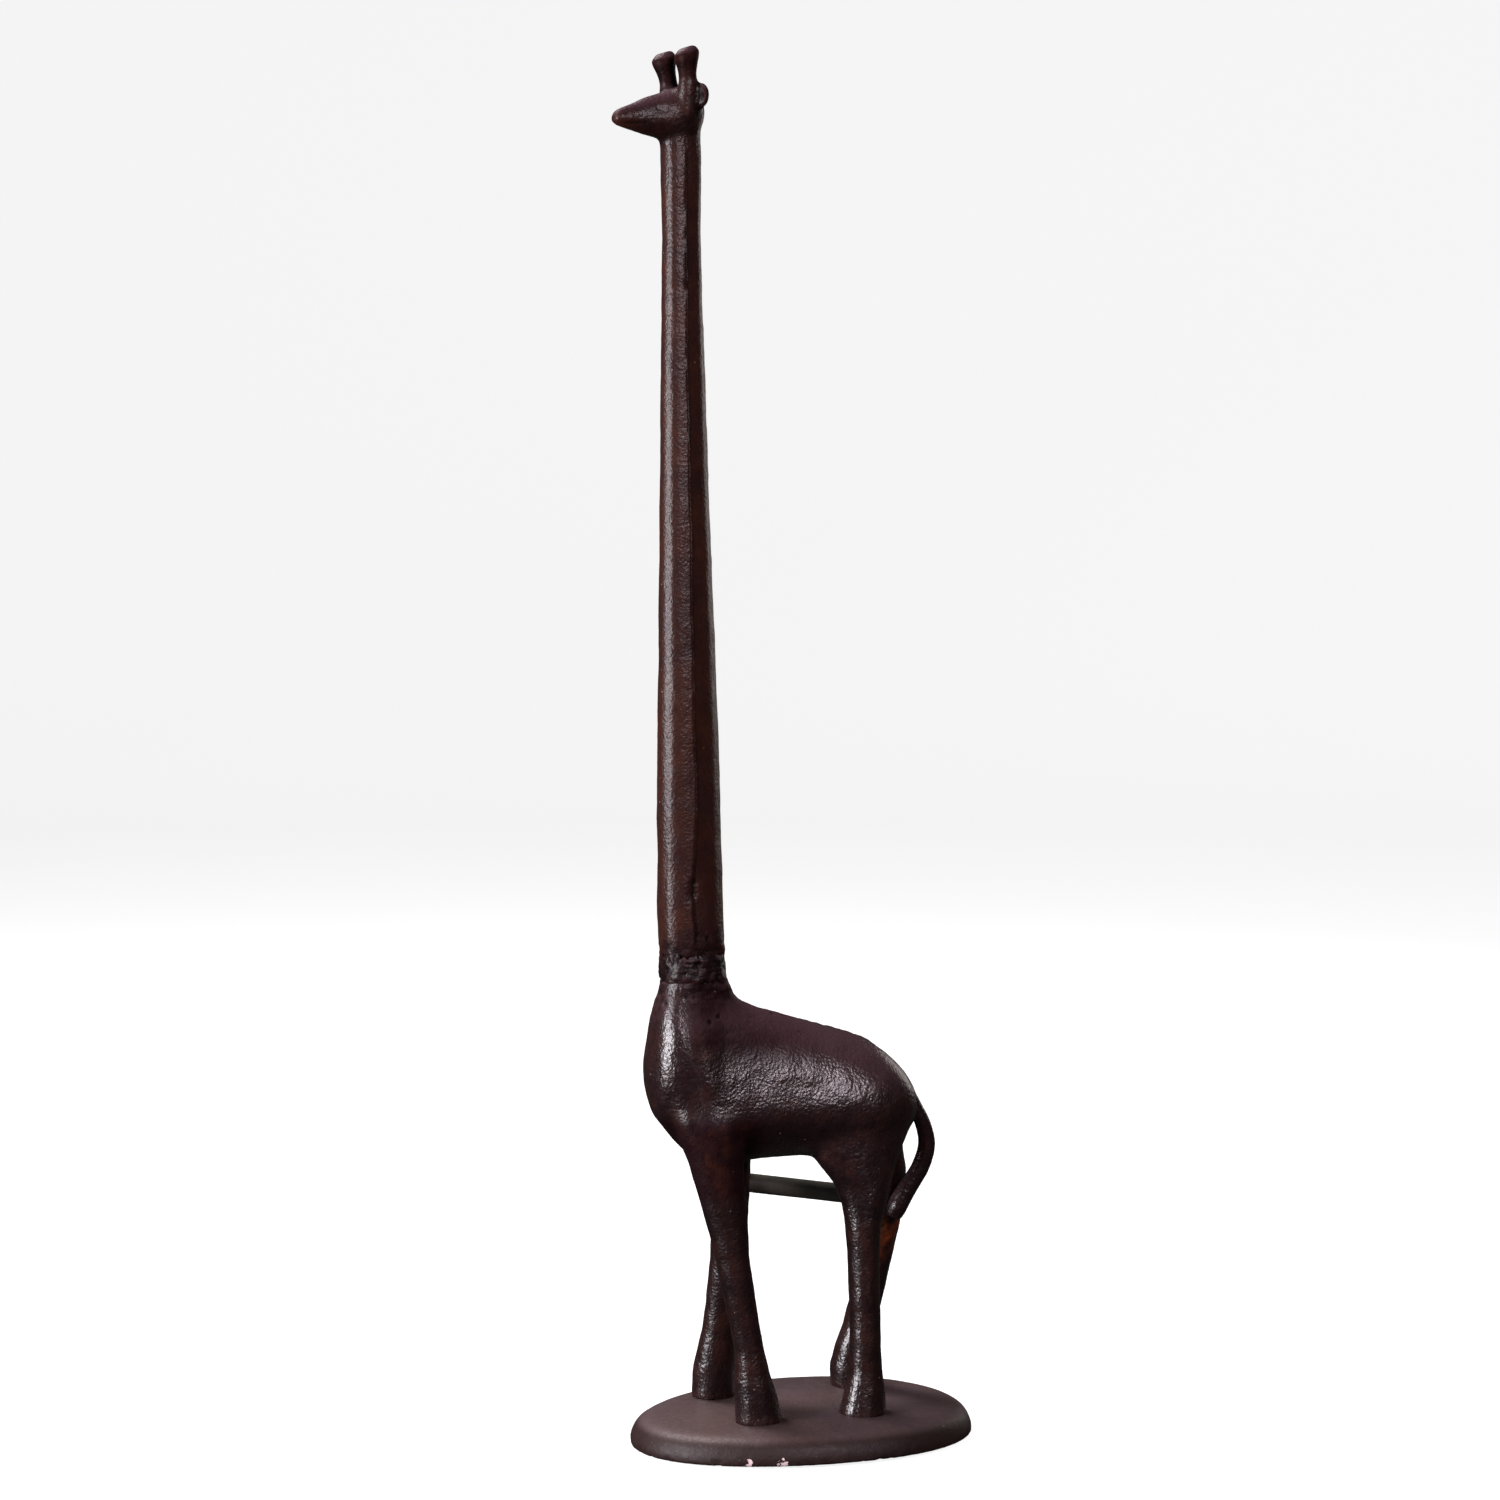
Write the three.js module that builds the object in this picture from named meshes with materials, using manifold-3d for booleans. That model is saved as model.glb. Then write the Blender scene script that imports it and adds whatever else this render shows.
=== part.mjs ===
// Cast-iron giraffe roll stand: an oval base plate, a giraffe body cast as two hollow halves that
// are screwed together, a neck and head cast in one piece and welded on, a tail and a leg tie bar.
// Millimetres, +Z up. The head points to -X, the tail to +X, and -Y is the giraffe's left side.
// The origin is the middle of the overall box at the level that the base pads stand on.

import * as THREE from 'three';
import { mergeVertices } from 'three/addons/utils/BufferGeometryUtils.js';
import Module from 'manifold-3d';

const wasm = await Module();
wasm.setup();

// ---- driving dimensions ----

// the muzzle overhangs the base, so the base's middle sits behind the middle of the overall box
const FIGURE_OFFSET_X = 3.8;
// the base's middle sits this far to the left of the body's seam
const BASE_MIDDLE_Y = -2;
// gap between two separate pieces that touch on the real object
const GAP = 0.3;
// how far a cutting shape runs past the face that it opens
const BEYOND = 1;
// past the widest part of the body, sideways, lengthwise and upwards
const CLEAR = { y: 30, x: 80, z: 250 };

const PAD = { radius: 8, thickness: 1.7, x: 43, y: 17 };
const BASE = {
  bottom: 0.9,
  top: 10.6,
  halfLength: 63.2,
  halfWidth: 45,
  roundness: 2.06,
  // the oval is wider at the tail end by this share of its width at the middle
  widening: 0.07,
  edgeRadius: 5.5,
  padRecess: 1.1,
};
const HOOF_BOTTOM = BASE.top + GAP;

const HOOF_SCREW = {
  shankRadius: 2.5,
  headRadius: 4.3,
  headBottom: 1.7,
  headTop: 4.6,
  top: 20,
  slotWidth: 1.2,
};
const HOOF_WASHER = { innerRadius: 2.8, outerRadius: 4.7, bottom: 4.9, top: 6.1 };
const COUNTERBORE = { radius: 6, top: 6.4 };
// the middle of each hoof, where its screw comes up through the base
const HOOVES = {
  front_left: { x: -20.9, y: -16.5 },
  front_right: { x: -26, y: 22 },
  rear_left: { x: 18.1, y: -18 },
  rear_right: { x: 27.2, y: 21 },
};

const BODY_WALL = 5;
// the hollow inside the two body halves ends here, front and rear
const HOLLOW = { front: -42, rear: 31 };
// how deep a register peg's root is buried in its own half
const PEG_ROOT = 2;
const REGISTER_PEG = { radius: 2.5, length: 4, places: [[-49, 128], [36, 111.5]] };
const CLOSING_SCREW = {
  x: -6,
  z: 129,
  shankRadius: 2.5,
  headRadius: 4.7,
  headFace: 18.2,
  headDepth: 2.7,
  tip: -13,
  bossRadius: 7,
  slotWidth: 1.2,
};

const NECK_JOINT_Z = 172;
const NECK_PIN = { x: -40.8, radius: 4, bottom: 151, top: 193 };
// the two castings are bevelled at the joint, and the weld bead fills the groove
const WELD = { halfHeight: 5, bevel: 3, proud: 0.6 };

const HEAD_TWIST = THREE.MathUtils.degToRad(12);
const HEAD_AXIS_X = -44.7;
const SKULL_TOP = 480;
// its root, below the skull's top, leans in so that its outer side runs into the cheek
const OSSICONE = { setBack: -0.6, spread: 6.7, lean: 0.8, rootLean: 3, height: 14.2, topSlant: 0.34 };
const EAR = {
  back: 3.8,
  spread: 8.4,
  z: 477.7,
  halfThickness: 2.2,
  halfSpan: 4.4,
  halfHeight: 4.5,
};

const TIE_BAR = { radius: 3.5, front: [-17, 15, 90.2], rear: [30, 15, 82.2] };
// the tail's root, a straight peg let into the rump: its places along the body, its radius and height
const TAIL_TANG = { places: [34, 38, 42.4], radius: 2.4, z: 121 };

// facets: how many rings along a casting, and how many sides its section has
const RINGS = { torso: 18, hollow: 6, leg: 14, stub: 6, neck: 20, skull: 16, ossicone: 13, tail: 16 };
const SIDES = {
  round: 16,
  pad: 24,
  base: 52,
  torso: 28,
  hollow: 18,
  leg: 16,
  neck: 26,
  weld: 40,
  skull: 20,
  ossicone: 14,
  tail: 14,
  tang: 12,
  bar: 18,
};

// ---- stations: the shape at a few places along each casting, blended smoothly in between ----

// torso: x, height of the middle, half height, half width
const TORSO = [
  [-58.2, 134.5, 2, 2.5],
  [-56.4, 135, 12.5, 9],
  [-52.2, 137.5, 21.5, 13.5],
  [-46.5, 136, 27.5, 16.5],
  [-38, 132.5, 31, 18.8],
  [-20, 129.8, 28.2, 19.6],
  [0, 126.8, 24.7, 19.8],
  [14, 124.5, 22.9, 20],
  [26, 123, 19.8, 19.4],
  [34.6, 121, 15, 17.2],
  [40.6, 119.5, 9.4, 12.4],
  [44, 119.5, 2.2, 4],
];

// legs: height, x and y of the middle, half length along the body, half width across it
const LEGS = {
  front_left: [
    [HOOF_BOTTOM, -20.9, -16.5, 8.5, 8],
    [14, -21, -16.5, 8.4, 7.8],
    [28, -23.3, -16.2, 6, 6.1],
    [36, -24.3, -16, 5.3, 5.5],
    [47, -26.4, -15.9, 5.4, 5.5],
    [60, -28.9, -15.7, 5.8, 5.7],
    [74, -31.1, -15.2, 6.5, 6.2],
    [87, -33, -14.6, 8.2, 7],
    [100, -35.4, -13.4, 9.6, 7.8],
    [114, -37.2, -11, 12.6, 9],
    [130, -38, -8, 14, 9],
  ],
  front_right: [
    [HOOF_BOTTOM, -25.9, 22, 8, 7.3],
    [14, -26, 22, 8.1, 7.2],
    [25, -25.5, 21, 6.9, 6.2],
    [38, -24, 20, 6.2, 5.8],
    [52, -22.8, 18.8, 6.1, 5.8],
    [65, -21.7, 17.6, 6.4, 6],
    [76, -21.7, 16.2, 6.9, 6.5],
    [88, -22.6, 14.4, 8.1, 7.4],
    [112, -26.5, 11, 11.5, 8.8],
    [130, -31, 8, 14, 9],
  ],
  rear_left: [
    [HOOF_BOTTOM, 17.8, -18, 8.7, 7.8],
    [14, 18.1, -18, 8.5, 7.6],
    [24, 18.9, -17.6, 6.5, 6.2],
    [34, 19, -17.2, 5.8, 5.9],
    [50, 18.9, -16.6, 5.6, 5.9],
    [66, 18.7, -16, 5.8, 6.1],
    [77, 18.8, -15.4, 6.4, 6.5],
    [85, 19.4, -14.6, 8, 7],
    [91, 19.2, -13.9, 9.9, 7.4],
    [96, 19.1, -13.2, 12.2, 7.8],
    [101, 17.6, -12.4, 15.5, 8.2],
    [105, 16.7, -11.6, 19, 8.4],
    [116, 20, -9, 19, 9],
  ],
  rear_right: [
    [HOOF_BOTTOM, 27.3, 21, 7.8, 7.6],
    [14, 27.1, 21, 7.9, 7.6],
    [21, 26.6, 20.4, 7.1, 6.9],
    [30, 29, 19.6, 6.1, 6.3],
    [42, 32.1, 18.6, 6.3, 6.2],
    [58, 35, 17.4, 6.6, 6.3],
    [73, 37, 16.2, 7.9, 6.9],
    [84, 36.4, 14.8, 9.2, 7.6],
    [90, 36.8, 14.1, 10.3, 8],
    [97, 33.4, 13, 10.7, 8.3],
    [107, 32, 11.4, 13, 8.7],
    [116, 30, 10, 14, 9],
  ],
};

// neck: height, x of the middle, half length, half width, twist in degrees, roundness of the nape
const NECK = [
  [138, -36, 18.4, 15.6, 0, 2.1],
  [150, -38, 18.4, 15, 0, 2.1],
  [160, -38.9, 14.9, 12, 0, 2],
  [166, -39.7, 12.6, 10.2, 1, 1.9],
  [172, -40.1, 11.8, 9.2, 3, 1.8],
  [182, -40.8, 11.9, 8.8, 6, 1.65],
  [204, -41.1, 12, 8.6, 9, 1.55],
  [231, -41.5, 11.9, 8.4, 11, 1.5],
  [260, -41.8, 11.3, 7.9, 12, 1.5],
  [288, -42.2, 10.6, 7.3, 12, 1.5],
  [344, -43.1, 9.1, 6.3, 12, 1.5],
  [387, -43.6, 8.1, 5.7, 12, 1.5],
  [420, -44, 7.2, 5.3, 12, 1.6],
  [444, -44.2, 7, 5.3, 12, 1.7],
  [462, -44.3, 7.3, 5.7, 12, 1.8],
  [473, -44.4, 7.3, 5.9, 12, 2],
];
const NECK_FRONT_ROUNDNESS = 2.6;

// head: distance in front of the neck's axis, height of the middle, half height, half width
const HEAD = [
  [26.3, 468.9, 1.3, 1.6],
  [25.3, 469.2, 2.5, 2.7],
  [23.2, 469.5, 3.4, 3.4],
  [18.8, 469.9, 4.8, 4.1],
  [13.8, 470.5, 6.5, 5.1],
  [9.8, 470.9, 7.5, 6],
  [4.5, 471.3, 9.3, 7.3],
  [0, 471.5, 10.2, 7.8],
  [-4, 471.9, 9.2, 7.2],
  [-6.6, 472.4, 6.6, 5.6],
  [-8.6, 473, 2.4, 2.4],
];

// ossicone: share of its height, radius
const OSSICONE_PROFILE = [
  [-1, 1.2],
  [-0.75, 3.6],
  [-0.3, 3.8],
  [0.05, 3.5],
  [0.3, 3.2],
  [0.55, 3.7],
  [0.78, 4.5],
  [0.92, 4.2],
  [1, 2.7],
];

// tail: x, y, z of the middle, radius
const TAIL = [
  [41.4, 0, 121.6, 3.3],
  [44.4, 0.1, 117, 2.8],
  [47.6, 0.4, 110.6, 2.9],
  [49.5, 1.2, 103, 3.2],
  [47.6, 2.2, 94.6, 3.3],
  [42.6, 3.3, 86.2, 3.5],
  [36.9, 4.4, 76, 4.2],
];

// ---- solids ----

// A closed solid from rings: ringPoint(share along, angle) gives a point, and each end is capped flat.
function loft(ringPoint, steps, segments) {
  const positions = [];
  const faces = [];
  for (let step = 0; step <= steps; step += 1) {
    for (let segment = 0; segment < segments; segment += 1) {
      positions.push(...ringPoint(step / steps, (segment / segments) * 2 * Math.PI));
    }
  }
  const at = (step, segment) => step * segments + (segment % segments);
  for (let step = 0; step < steps; step += 1) {
    for (let segment = 0; segment < segments; segment += 1) {
      const [a, b] = [at(step, segment), at(step, segment + 1)];
      const [c, d] = [at(step + 1, segment + 1), at(step + 1, segment)];
      faces.push(a, b, c, a, c, d);
    }
  }
  for (const step of [0, steps]) {
    const middle = new THREE.Vector3();
    for (let segment = 0; segment < segments; segment += 1) {
      middle.add(new THREE.Vector3().fromArray(positions, at(step, segment) * 3));
    }
    positions.push(...middle.divideScalar(segments));
    const centre = positions.length / 3 - 1;
    for (let segment = 0; segment < segments; segment += 1) {
      const edge = [at(step, segment), at(step, segment + 1)];
      faces.push(centre, ...(step === 0 ? edge.reverse() : edge));
    }
  }
  return closedGeometry(positions, faces);
}

// Six times the signed volume: positive where the faces point out.
function signedVolume(positions, faces) {
  const [a, b, c] = [new THREE.Vector3(), new THREE.Vector3(), new THREE.Vector3()];
  let total = 0;
  for (let face = 0; face < faces.length; face += 3) {
    a.fromArray(positions, faces[face] * 3);
    b.fromArray(positions, faces[face + 1] * 3);
    c.fromArray(positions, faces[face + 2] * 3);
    total += a.dot(b.cross(c));
  }
  return total;
}

function closedGeometry(positions, faces) {
  const outward = signedVolume(positions, faces) > 0 ? faces : [...faces].reverse();
  const geometry = new THREE.BufferGeometry();
  geometry.setAttribute('position', new THREE.Float32BufferAttribute(positions, 3));
  geometry.setIndex(outward);
  return geometry;
}

function toSolid(geometry) {
  const plain = geometry.clone();
  plain.deleteAttribute('normal');
  plain.deleteAttribute('uv');
  const merged = mergeVertices(plain, 1e-4);
  return new wasm.Manifold(new wasm.Mesh({
    numProp: 3,
    vertProperties: new Float32Array(merged.attributes.position.array),
    triVerts: new Uint32Array(merged.index.array),
  }));
}

function toGeometry(solid) {
  const mesh = solid.getMesh();
  const geometry = new THREE.BufferGeometry();
  geometry.setAttribute('position', new THREE.BufferAttribute(mesh.vertProperties, 3));
  geometry.setIndex(new THREE.BufferAttribute(mesh.triVerts, 1));
  geometry.computeVertexNormals();
  return geometry;
}

function join(first, ...others) {
  return others.reduce((solid, other) => solid.add(other), first);
}

function cut(first, ...others) {
  return others.reduce((solid, other) => solid.subtract(other), first);
}

// A round bar between two heights, standing at x, y.
function upright(x, y, radius, bottom, top, segments = SIDES.round) {
  const geometry = new THREE.CylinderGeometry(radius, radius, top - bottom, segments);
  geometry.rotateX(Math.PI / 2);
  geometry.translate(x, y, (bottom + top) / 2);
  return toSolid(geometry);
}

// A round bar along Y, between yLow and yHigh, with its own radius at each end.
function crosswise(x, z, radiusLow, radiusHigh, yLow, yHigh) {
  const geometry = new THREE.CylinderGeometry(radiusHigh, radiusLow, yHigh - yLow, SIDES.round);
  geometry.translate(x, (yLow + yHigh) / 2, z);
  return toSolid(geometry);
}

function block(xLow, xHigh, yLow, yHigh, zLow, zHigh) {
  const geometry = new THREE.BoxGeometry(xHigh - xLow, yHigh - yLow, zHigh - zLow);
  geometry.translate((xLow + xHigh) / 2, (yLow + yHigh) / 2, (zLow + zHigh) / 2);
  return toSolid(geometry);
}

// ---- sections ----

// Blends the rows of a station table along its first column.
function blend(rows) {
  const ordered = [...rows].sort((first, second) => first[0] - second[0]);
  const places = ordered.map((row) => row[0]);
  const values = ordered.flatMap((row) => row.slice(1));
  const spline = new THREE.CubicInterpolant(places, values, rows[0].length - 1);
  return (place) => [...spline.evaluate(place)];
}

// A point on a superellipse: roundness 2 is an ellipse, less is a diamond, more is boxy.
function superellipse(angle, halfX, halfY, roundness) {
  const power = 2 / roundness;
  const [c, s] = [Math.cos(angle), Math.sin(angle)];
  return [halfX * Math.sign(c) * Math.abs(c) ** power, halfY * Math.sign(s) * Math.abs(s) ** power];
}

const neckAt = blend(NECK);

// The neck's outline at a height, grown by `grow` all round; its nape side is bevelled.
function neckPoint(z, angle, grow = 0) {
  const [x, halfLength, halfWidth, twist, nape] = neckAt(z);
  const isNape = Math.cos(angle) > 0;
  const roundness = isNape ? nape : NECK_FRONT_ROUNDNESS;
  const [along, across] = superellipse(angle, halfLength + grow, halfWidth + grow, roundness);
  const turn = THREE.MathUtils.degToRad(twist);
  return [
    x + along * Math.cos(turn) - across * Math.sin(turn),
    along * Math.sin(turn) + across * Math.cos(turn),
    z,
  ];
}

// The neck through a list of rings, each a height and how far its outline is grown.
function neckLoft(rings) {
  const steps = rings.length - 1;
  return toSolid(loft((share, angle) => {
    const [z, grow] = rings[Math.round(share * steps)];
    return neckPoint(z, angle, grow);
  }, steps, SIDES.neck));
}

// Plain rings at even heights.
function evenRings(bottom, top, steps) {
  return Array.from({ length: steps + 1 }, (_, step) => [THREE.MathUtils.lerp(bottom, top, step / steps), 0]);
}

// ---- base ----

function basePoint(inset, z, angle) {
  const { halfLength, halfWidth, roundness, widening } = BASE;
  const [x, y] = superellipse(angle, halfLength - inset, halfWidth - inset, roundness);
  return [x, BASE_MIDDLE_Y + y * (1 + (widening * x) / halfLength), z];
}

function makeBasePlate() {
  const { bottom, top, edgeRadius, padRecess } = BASE;
  const bottomBevel = 0.7;
  const edgeSteps = 5;
  const rings = [[bottomBevel, bottom], [0, bottom + bottomBevel]];
  for (let step = 0; step <= edgeSteps; step += 1) {
    const turn = (step / edgeSteps) * (Math.PI / 2);
    rings.push([edgeRadius * (1 - Math.cos(turn)), top - edgeRadius * (1 - Math.sin(turn))]);
  }
  const steps = rings.length - 1;
  const plate = toSolid(loft((share, angle) => {
    const [inset, z] = rings[Math.round(share * steps)];
    return basePoint(inset, z, angle);
  }, steps, SIDES.base));
  const holes = Object.values(HOOVES).flatMap(({ x, y }) => [
    upright(x, y, HOOF_SCREW.shankRadius + GAP, bottom, top + BEYOND),
    upright(x, y, COUNTERBORE.radius, bottom - BEYOND, COUNTERBORE.top),
  ]);
  const recesses = padPlaces().map(([, x, y]) => (
    upright(x, y, PAD.radius + GAP, bottom - BEYOND, bottom + padRecess, SIDES.pad)
  ));
  return cut(plate, ...holes, ...recesses);
}

function padPlaces() {
  return [
    ['front_left', -PAD.x, BASE_MIDDLE_Y - PAD.y],
    ['front_right', -PAD.x, BASE_MIDDLE_Y + PAD.y],
    ['rear_left', PAD.x, BASE_MIDDLE_Y - PAD.y],
    ['rear_right', PAD.x, BASE_MIDDLE_Y + PAD.y],
  ];
}

function makeHoofScrew({ x, y }) {
  const { shankRadius, headRadius, headBottom, headTop, top, slotWidth } = HOOF_SCREW;
  const slotDepth = 1.3;
  const screw = join(
    upright(x, y, headRadius, headBottom, headTop),
    upright(x, y, shankRadius, headBottom + slotDepth, top),
  );
  const slot = block(
    x - headRadius - BEYOND, x + headRadius + BEYOND,
    y - slotWidth / 2, y + slotWidth / 2,
    headBottom - BEYOND, headBottom + slotDepth,
  );
  return screw.subtract(slot);
}

// A split spring washer.
function makeHoofWasher({ x, y }) {
  const { innerRadius, outerRadius, bottom, top } = HOOF_WASHER;
  const splitWidth = 0.8;
  const ring = cut(
    upright(x, y, outerRadius, bottom, top),
    upright(x, y, innerRadius, bottom - BEYOND, top + BEYOND),
  );
  const split = block(
    x, x + outerRadius + BEYOND,
    y - splitWidth / 2, y + splitWidth / 2,
    bottom - BEYOND, top + BEYOND,
  );
  return ring.subtract(split);
}

// ---- body ----

const torsoAt = blend(TORSO);
const TORSO_ROUNDNESS = 2.25;

// The torso between two x places, shrunk all round by `wall`.
function torsoLoft(front, rear, wall, steps, segments) {
  return toSolid(loft((share, angle) => {
    // more rings near the two ends, where the outline turns fastest
    const x = THREE.MathUtils.lerp(front, rear, (1 - Math.cos(share * Math.PI)) / 2);
    const [z, halfHeight, halfWidth] = torsoAt(x);
    const [y, rise] = superellipse(angle, halfWidth - wall, halfHeight - wall, TORSO_ROUNDNESS);
    return [x, y, z + rise];
  }, steps, segments));
}

function makeLeg(rows) {
  const legAt = blend(rows);
  const [low, high] = [rows[0][0], rows[rows.length - 1][0]];
  return toSolid(loft((share, angle) => {
    const z = THREE.MathUtils.lerp(low, high, share);
    const [x, y, halfLength, halfWidth] = legAt(z);
    const [along, across] = superellipse(angle, halfLength, halfWidth, 2);
    return [x + along, y + across, z];
  }, RINGS.leg, SIDES.leg));
}

// A bar along a curve with a radius for each point; `grow` thickens it all round.
function taperedBar(points, radii, grow, steps, segments) {
  const path = new THREE.CatmullRomCurve3(points);
  const radiusCurve = new THREE.SplineCurve(radii.map((radius, index) => new THREE.Vector2(index, radius)));
  const side = new THREE.Vector3(0, 1, 0);
  return toSolid(loft((share, angle) => {
    const middle = path.getPoint(share);
    const radius = radiusCurve.getPoint(share).y + grow;
    const ahead = path.getTangent(share);
    const out = new THREE.Vector3().crossVectors(side, ahead).normalize();
    const across = new THREE.Vector3().crossVectors(ahead, out);
    return middle
      .addScaledVector(out, radius * Math.cos(angle))
      .addScaledVector(across, radius * Math.sin(angle));
  }, steps, segments));
}

function makeTail(grow = 0) {
  const points = TAIL.map(([x, y, z]) => new THREE.Vector3(x, y, z));
  const rope = taperedBar(points, TAIL.map((row) => row[3]), grow, RINGS.tail, SIDES.tail);
  const { places, radius, z } = TAIL_TANG;
  const tangPoints = places.map((x, index) => new THREE.Vector3(index === 0 ? x - grow : x, 0, z));
  const tang = taperedBar(tangPoints, places.map(() => radius), grow, places.length - 1, SIDES.tang);
  return rope.add(tang);
}

function makeTieBar(grow = 0) {
  const ends = [TIE_BAR.front, TIE_BAR.rear].map((place) => new THREE.Vector3(...place));
  const reach = ends[1].clone().sub(ends[0]).normalize().multiplyScalar(grow);
  const points = [ends[0].sub(reach), ends[1].clone().add(reach)];
  return taperedBar(points, [TIE_BAR.radius, TIE_BAR.radius], grow, 1, SIDES.bar);
}

function makeWholeBody() {
  const outside = join(
    torsoLoft(TORSO[0][0], TORSO[TORSO.length - 1][0], 0, RINGS.torso, SIDES.torso),
    neckLoft([
      ...evenRings(NECK[0][0], NECK_JOINT_Z - WELD.halfHeight, RINGS.stub),
      [NECK_JOINT_Z - GAP, -WELD.bevel],
    ]),
    ...Object.values(LEGS).map(makeLeg),
  );
  const { x, z, bossRadius } = CLOSING_SCREW;
  const hollow = cut(
    torsoLoft(HOLLOW.front, HOLLOW.rear, BODY_WALL, RINGS.hollow, SIDES.hollow),
    crosswise(x, z, bossRadius, bossRadius, -CLEAR.y, CLEAR.y),
  );
  const hoofHoles = Object.values(HOOVES).map((hoof) => (
    upright(hoof.x, hoof.y, HOOF_SCREW.shankRadius + GAP, BASE.top, HOOF_SCREW.top + GAP)
  ));
  const pinHole = upright(NECK_PIN.x, 0, NECK_PIN.radius + GAP, NECK_PIN.bottom - GAP, NECK_JOINT_Z + BEYOND);
  return cut(outside, hollow, ...hoofHoles, pinHole, makeTail(GAP), makeTieBar(GAP));
}

// The left half carries two pegs and the tapped hole that the closing screw bites in.
function makeLeftHalf(body) {
  const { x, z, shankRadius, tip } = CLOSING_SCREW;
  const { radius, length, places } = REGISTER_PEG;
  const half = body.subtract(block(-CLEAR.x, CLEAR.x, -GAP / 2, CLEAR.y, 0, CLEAR.z));
  const pegs = places.map(([pegX, pegZ]) => crosswise(pegX, pegZ, radius, radius, -PEG_ROOT, length));
  const tapped = crosswise(x, z, shankRadius + GAP, shankRadius + GAP, tip - GAP, BEYOND);
  return join(half.subtract(tapped), ...pegs);
}

// The right half has the pegs' sockets and the countersunk hole.
function makeRightHalf(body) {
  const { x, z, shankRadius, headRadius, headFace, headDepth } = CLOSING_SCREW;
  const { radius, length, places } = REGISTER_PEG;
  const sockets = places.map(([pegX, pegZ]) => (
    crosswise(pegX, pegZ, radius + GAP, radius + GAP, -BEYOND, length + GAP)
  ));
  return cut(
    body.subtract(block(-CLEAR.x, CLEAR.x, -CLEAR.y, GAP / 2, 0, CLEAR.z)),
    ...sockets,
    crosswise(x, z, shankRadius + GAP, shankRadius + GAP, -BEYOND, headFace),
    crosswise(x, z, shankRadius + GAP, headRadius + GAP, headFace - headDepth - GAP, headFace),
    crosswise(x, z, headRadius + GAP, headRadius + GAP, headFace, CLEAR.y),
  );
}

function makeClosingScrew() {
  const { x, z, shankRadius, headRadius, headFace, headDepth, tip, slotWidth } = CLOSING_SCREW;
  const slotDepth = 1.2;
  const screw = join(
    crosswise(x, z, shankRadius, shankRadius, tip, headFace - slotDepth),
    crosswise(x, z, shankRadius, headRadius, headFace - headDepth, headFace),
  );
  const slot = block(
    x - headRadius - BEYOND, x + headRadius + BEYOND,
    headFace - slotDepth, headFace + BEYOND,
    z - slotWidth / 2, z + slotWidth / 2,
  );
  return screw.subtract(slot);
}

// ---- neck and head ----

// The weld bead: a ring round the neck whose inner side fills the bevelled groove.
function makeWeldBead() {
  const { halfHeight, bevel, proud } = WELD;
  // how far out from the neck's surface, and how far above the joint, going round the bead's section
  const section = [
    [0.3, -halfHeight - 0.1],
    [proud * 0.8, -halfHeight * 0.7],
    [proud, 0],
    [proud * 0.8, halfHeight * 0.7],
    [0.3, halfHeight + 0.1],
    [0.6 - bevel, 0],
  ];
  const positions = [];
  const faces = [];
  for (let step = 0; step < SIDES.weld; step += 1) {
    for (const [out, up] of section) {
      positions.push(...neckPoint(NECK_JOINT_Z + up, (step / SIDES.weld) * 2 * Math.PI, out));
    }
  }
  const at = (step, corner) => (step % SIDES.weld) * section.length + (corner % section.length);
  for (let step = 0; step < SIDES.weld; step += 1) {
    for (let corner = 0; corner < section.length; corner += 1) {
      const [a, b] = [at(step, corner), at(step, corner + 1)];
      const [c, d] = [at(step + 1, corner + 1), at(step + 1, corner)];
      faces.push(a, b, c, a, c, d);
    }
  }
  return toSolid(closedGeometry(positions, faces));
}

// Moves a shape made round the head's own axis (muzzle to -X) to the top of the turned neck.
function placeOnNeck(geometry) {
  geometry.rotateZ(HEAD_TWIST);
  geometry.translate(HEAD_AXIS_X, 0, 0);
  return toSolid(geometry);
}

function makeSkull() {
  const headAt = blend(HEAD);
  const [tip, back] = [HEAD[0][0], HEAD[HEAD.length - 1][0]];
  return placeOnNeck(loft((share, angle) => {
    const ahead = THREE.MathUtils.lerp(tip, back, (1 - Math.cos(share * Math.PI)) / 2);
    const [z, halfHeight, halfWidth] = headAt(ahead);
    const [across, rise] = superellipse(angle, halfWidth, halfHeight, 2.1);
    return [-ahead, across, z + rise];
  }, RINGS.skull, SIDES.skull));
}

// A blunt club with a slanted top; `side` is -1 on the giraffe's left.
function makeOssicone(side) {
  const { setBack, spread, lean, rootLean, height, topSlant } = OSSICONE;
  const radiusAt = blend(OSSICONE_PROFILE);
  const [low, high] = [OSSICONE_PROFILE[0][0], OSSICONE_PROFILE[OSSICONE_PROFILE.length - 1][0]];
  return placeOnNeck(loft((share, angle) => {
    const rise = THREE.MathUtils.lerp(low, high, share);
    const [radius] = radiusAt(rise);
    const [along, across] = superellipse(angle, radius, radius, 2);
    const slant = topSlant * along * Math.max(rise, 0) ** 2;
    const outward = spread + (rise > 0 ? lean : rootLean) * rise;
    return [setBack + along, side * outward + across, SKULL_TOP + rise * height + slant];
  }, RINGS.ossicone, SIDES.ossicone));
}

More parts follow.
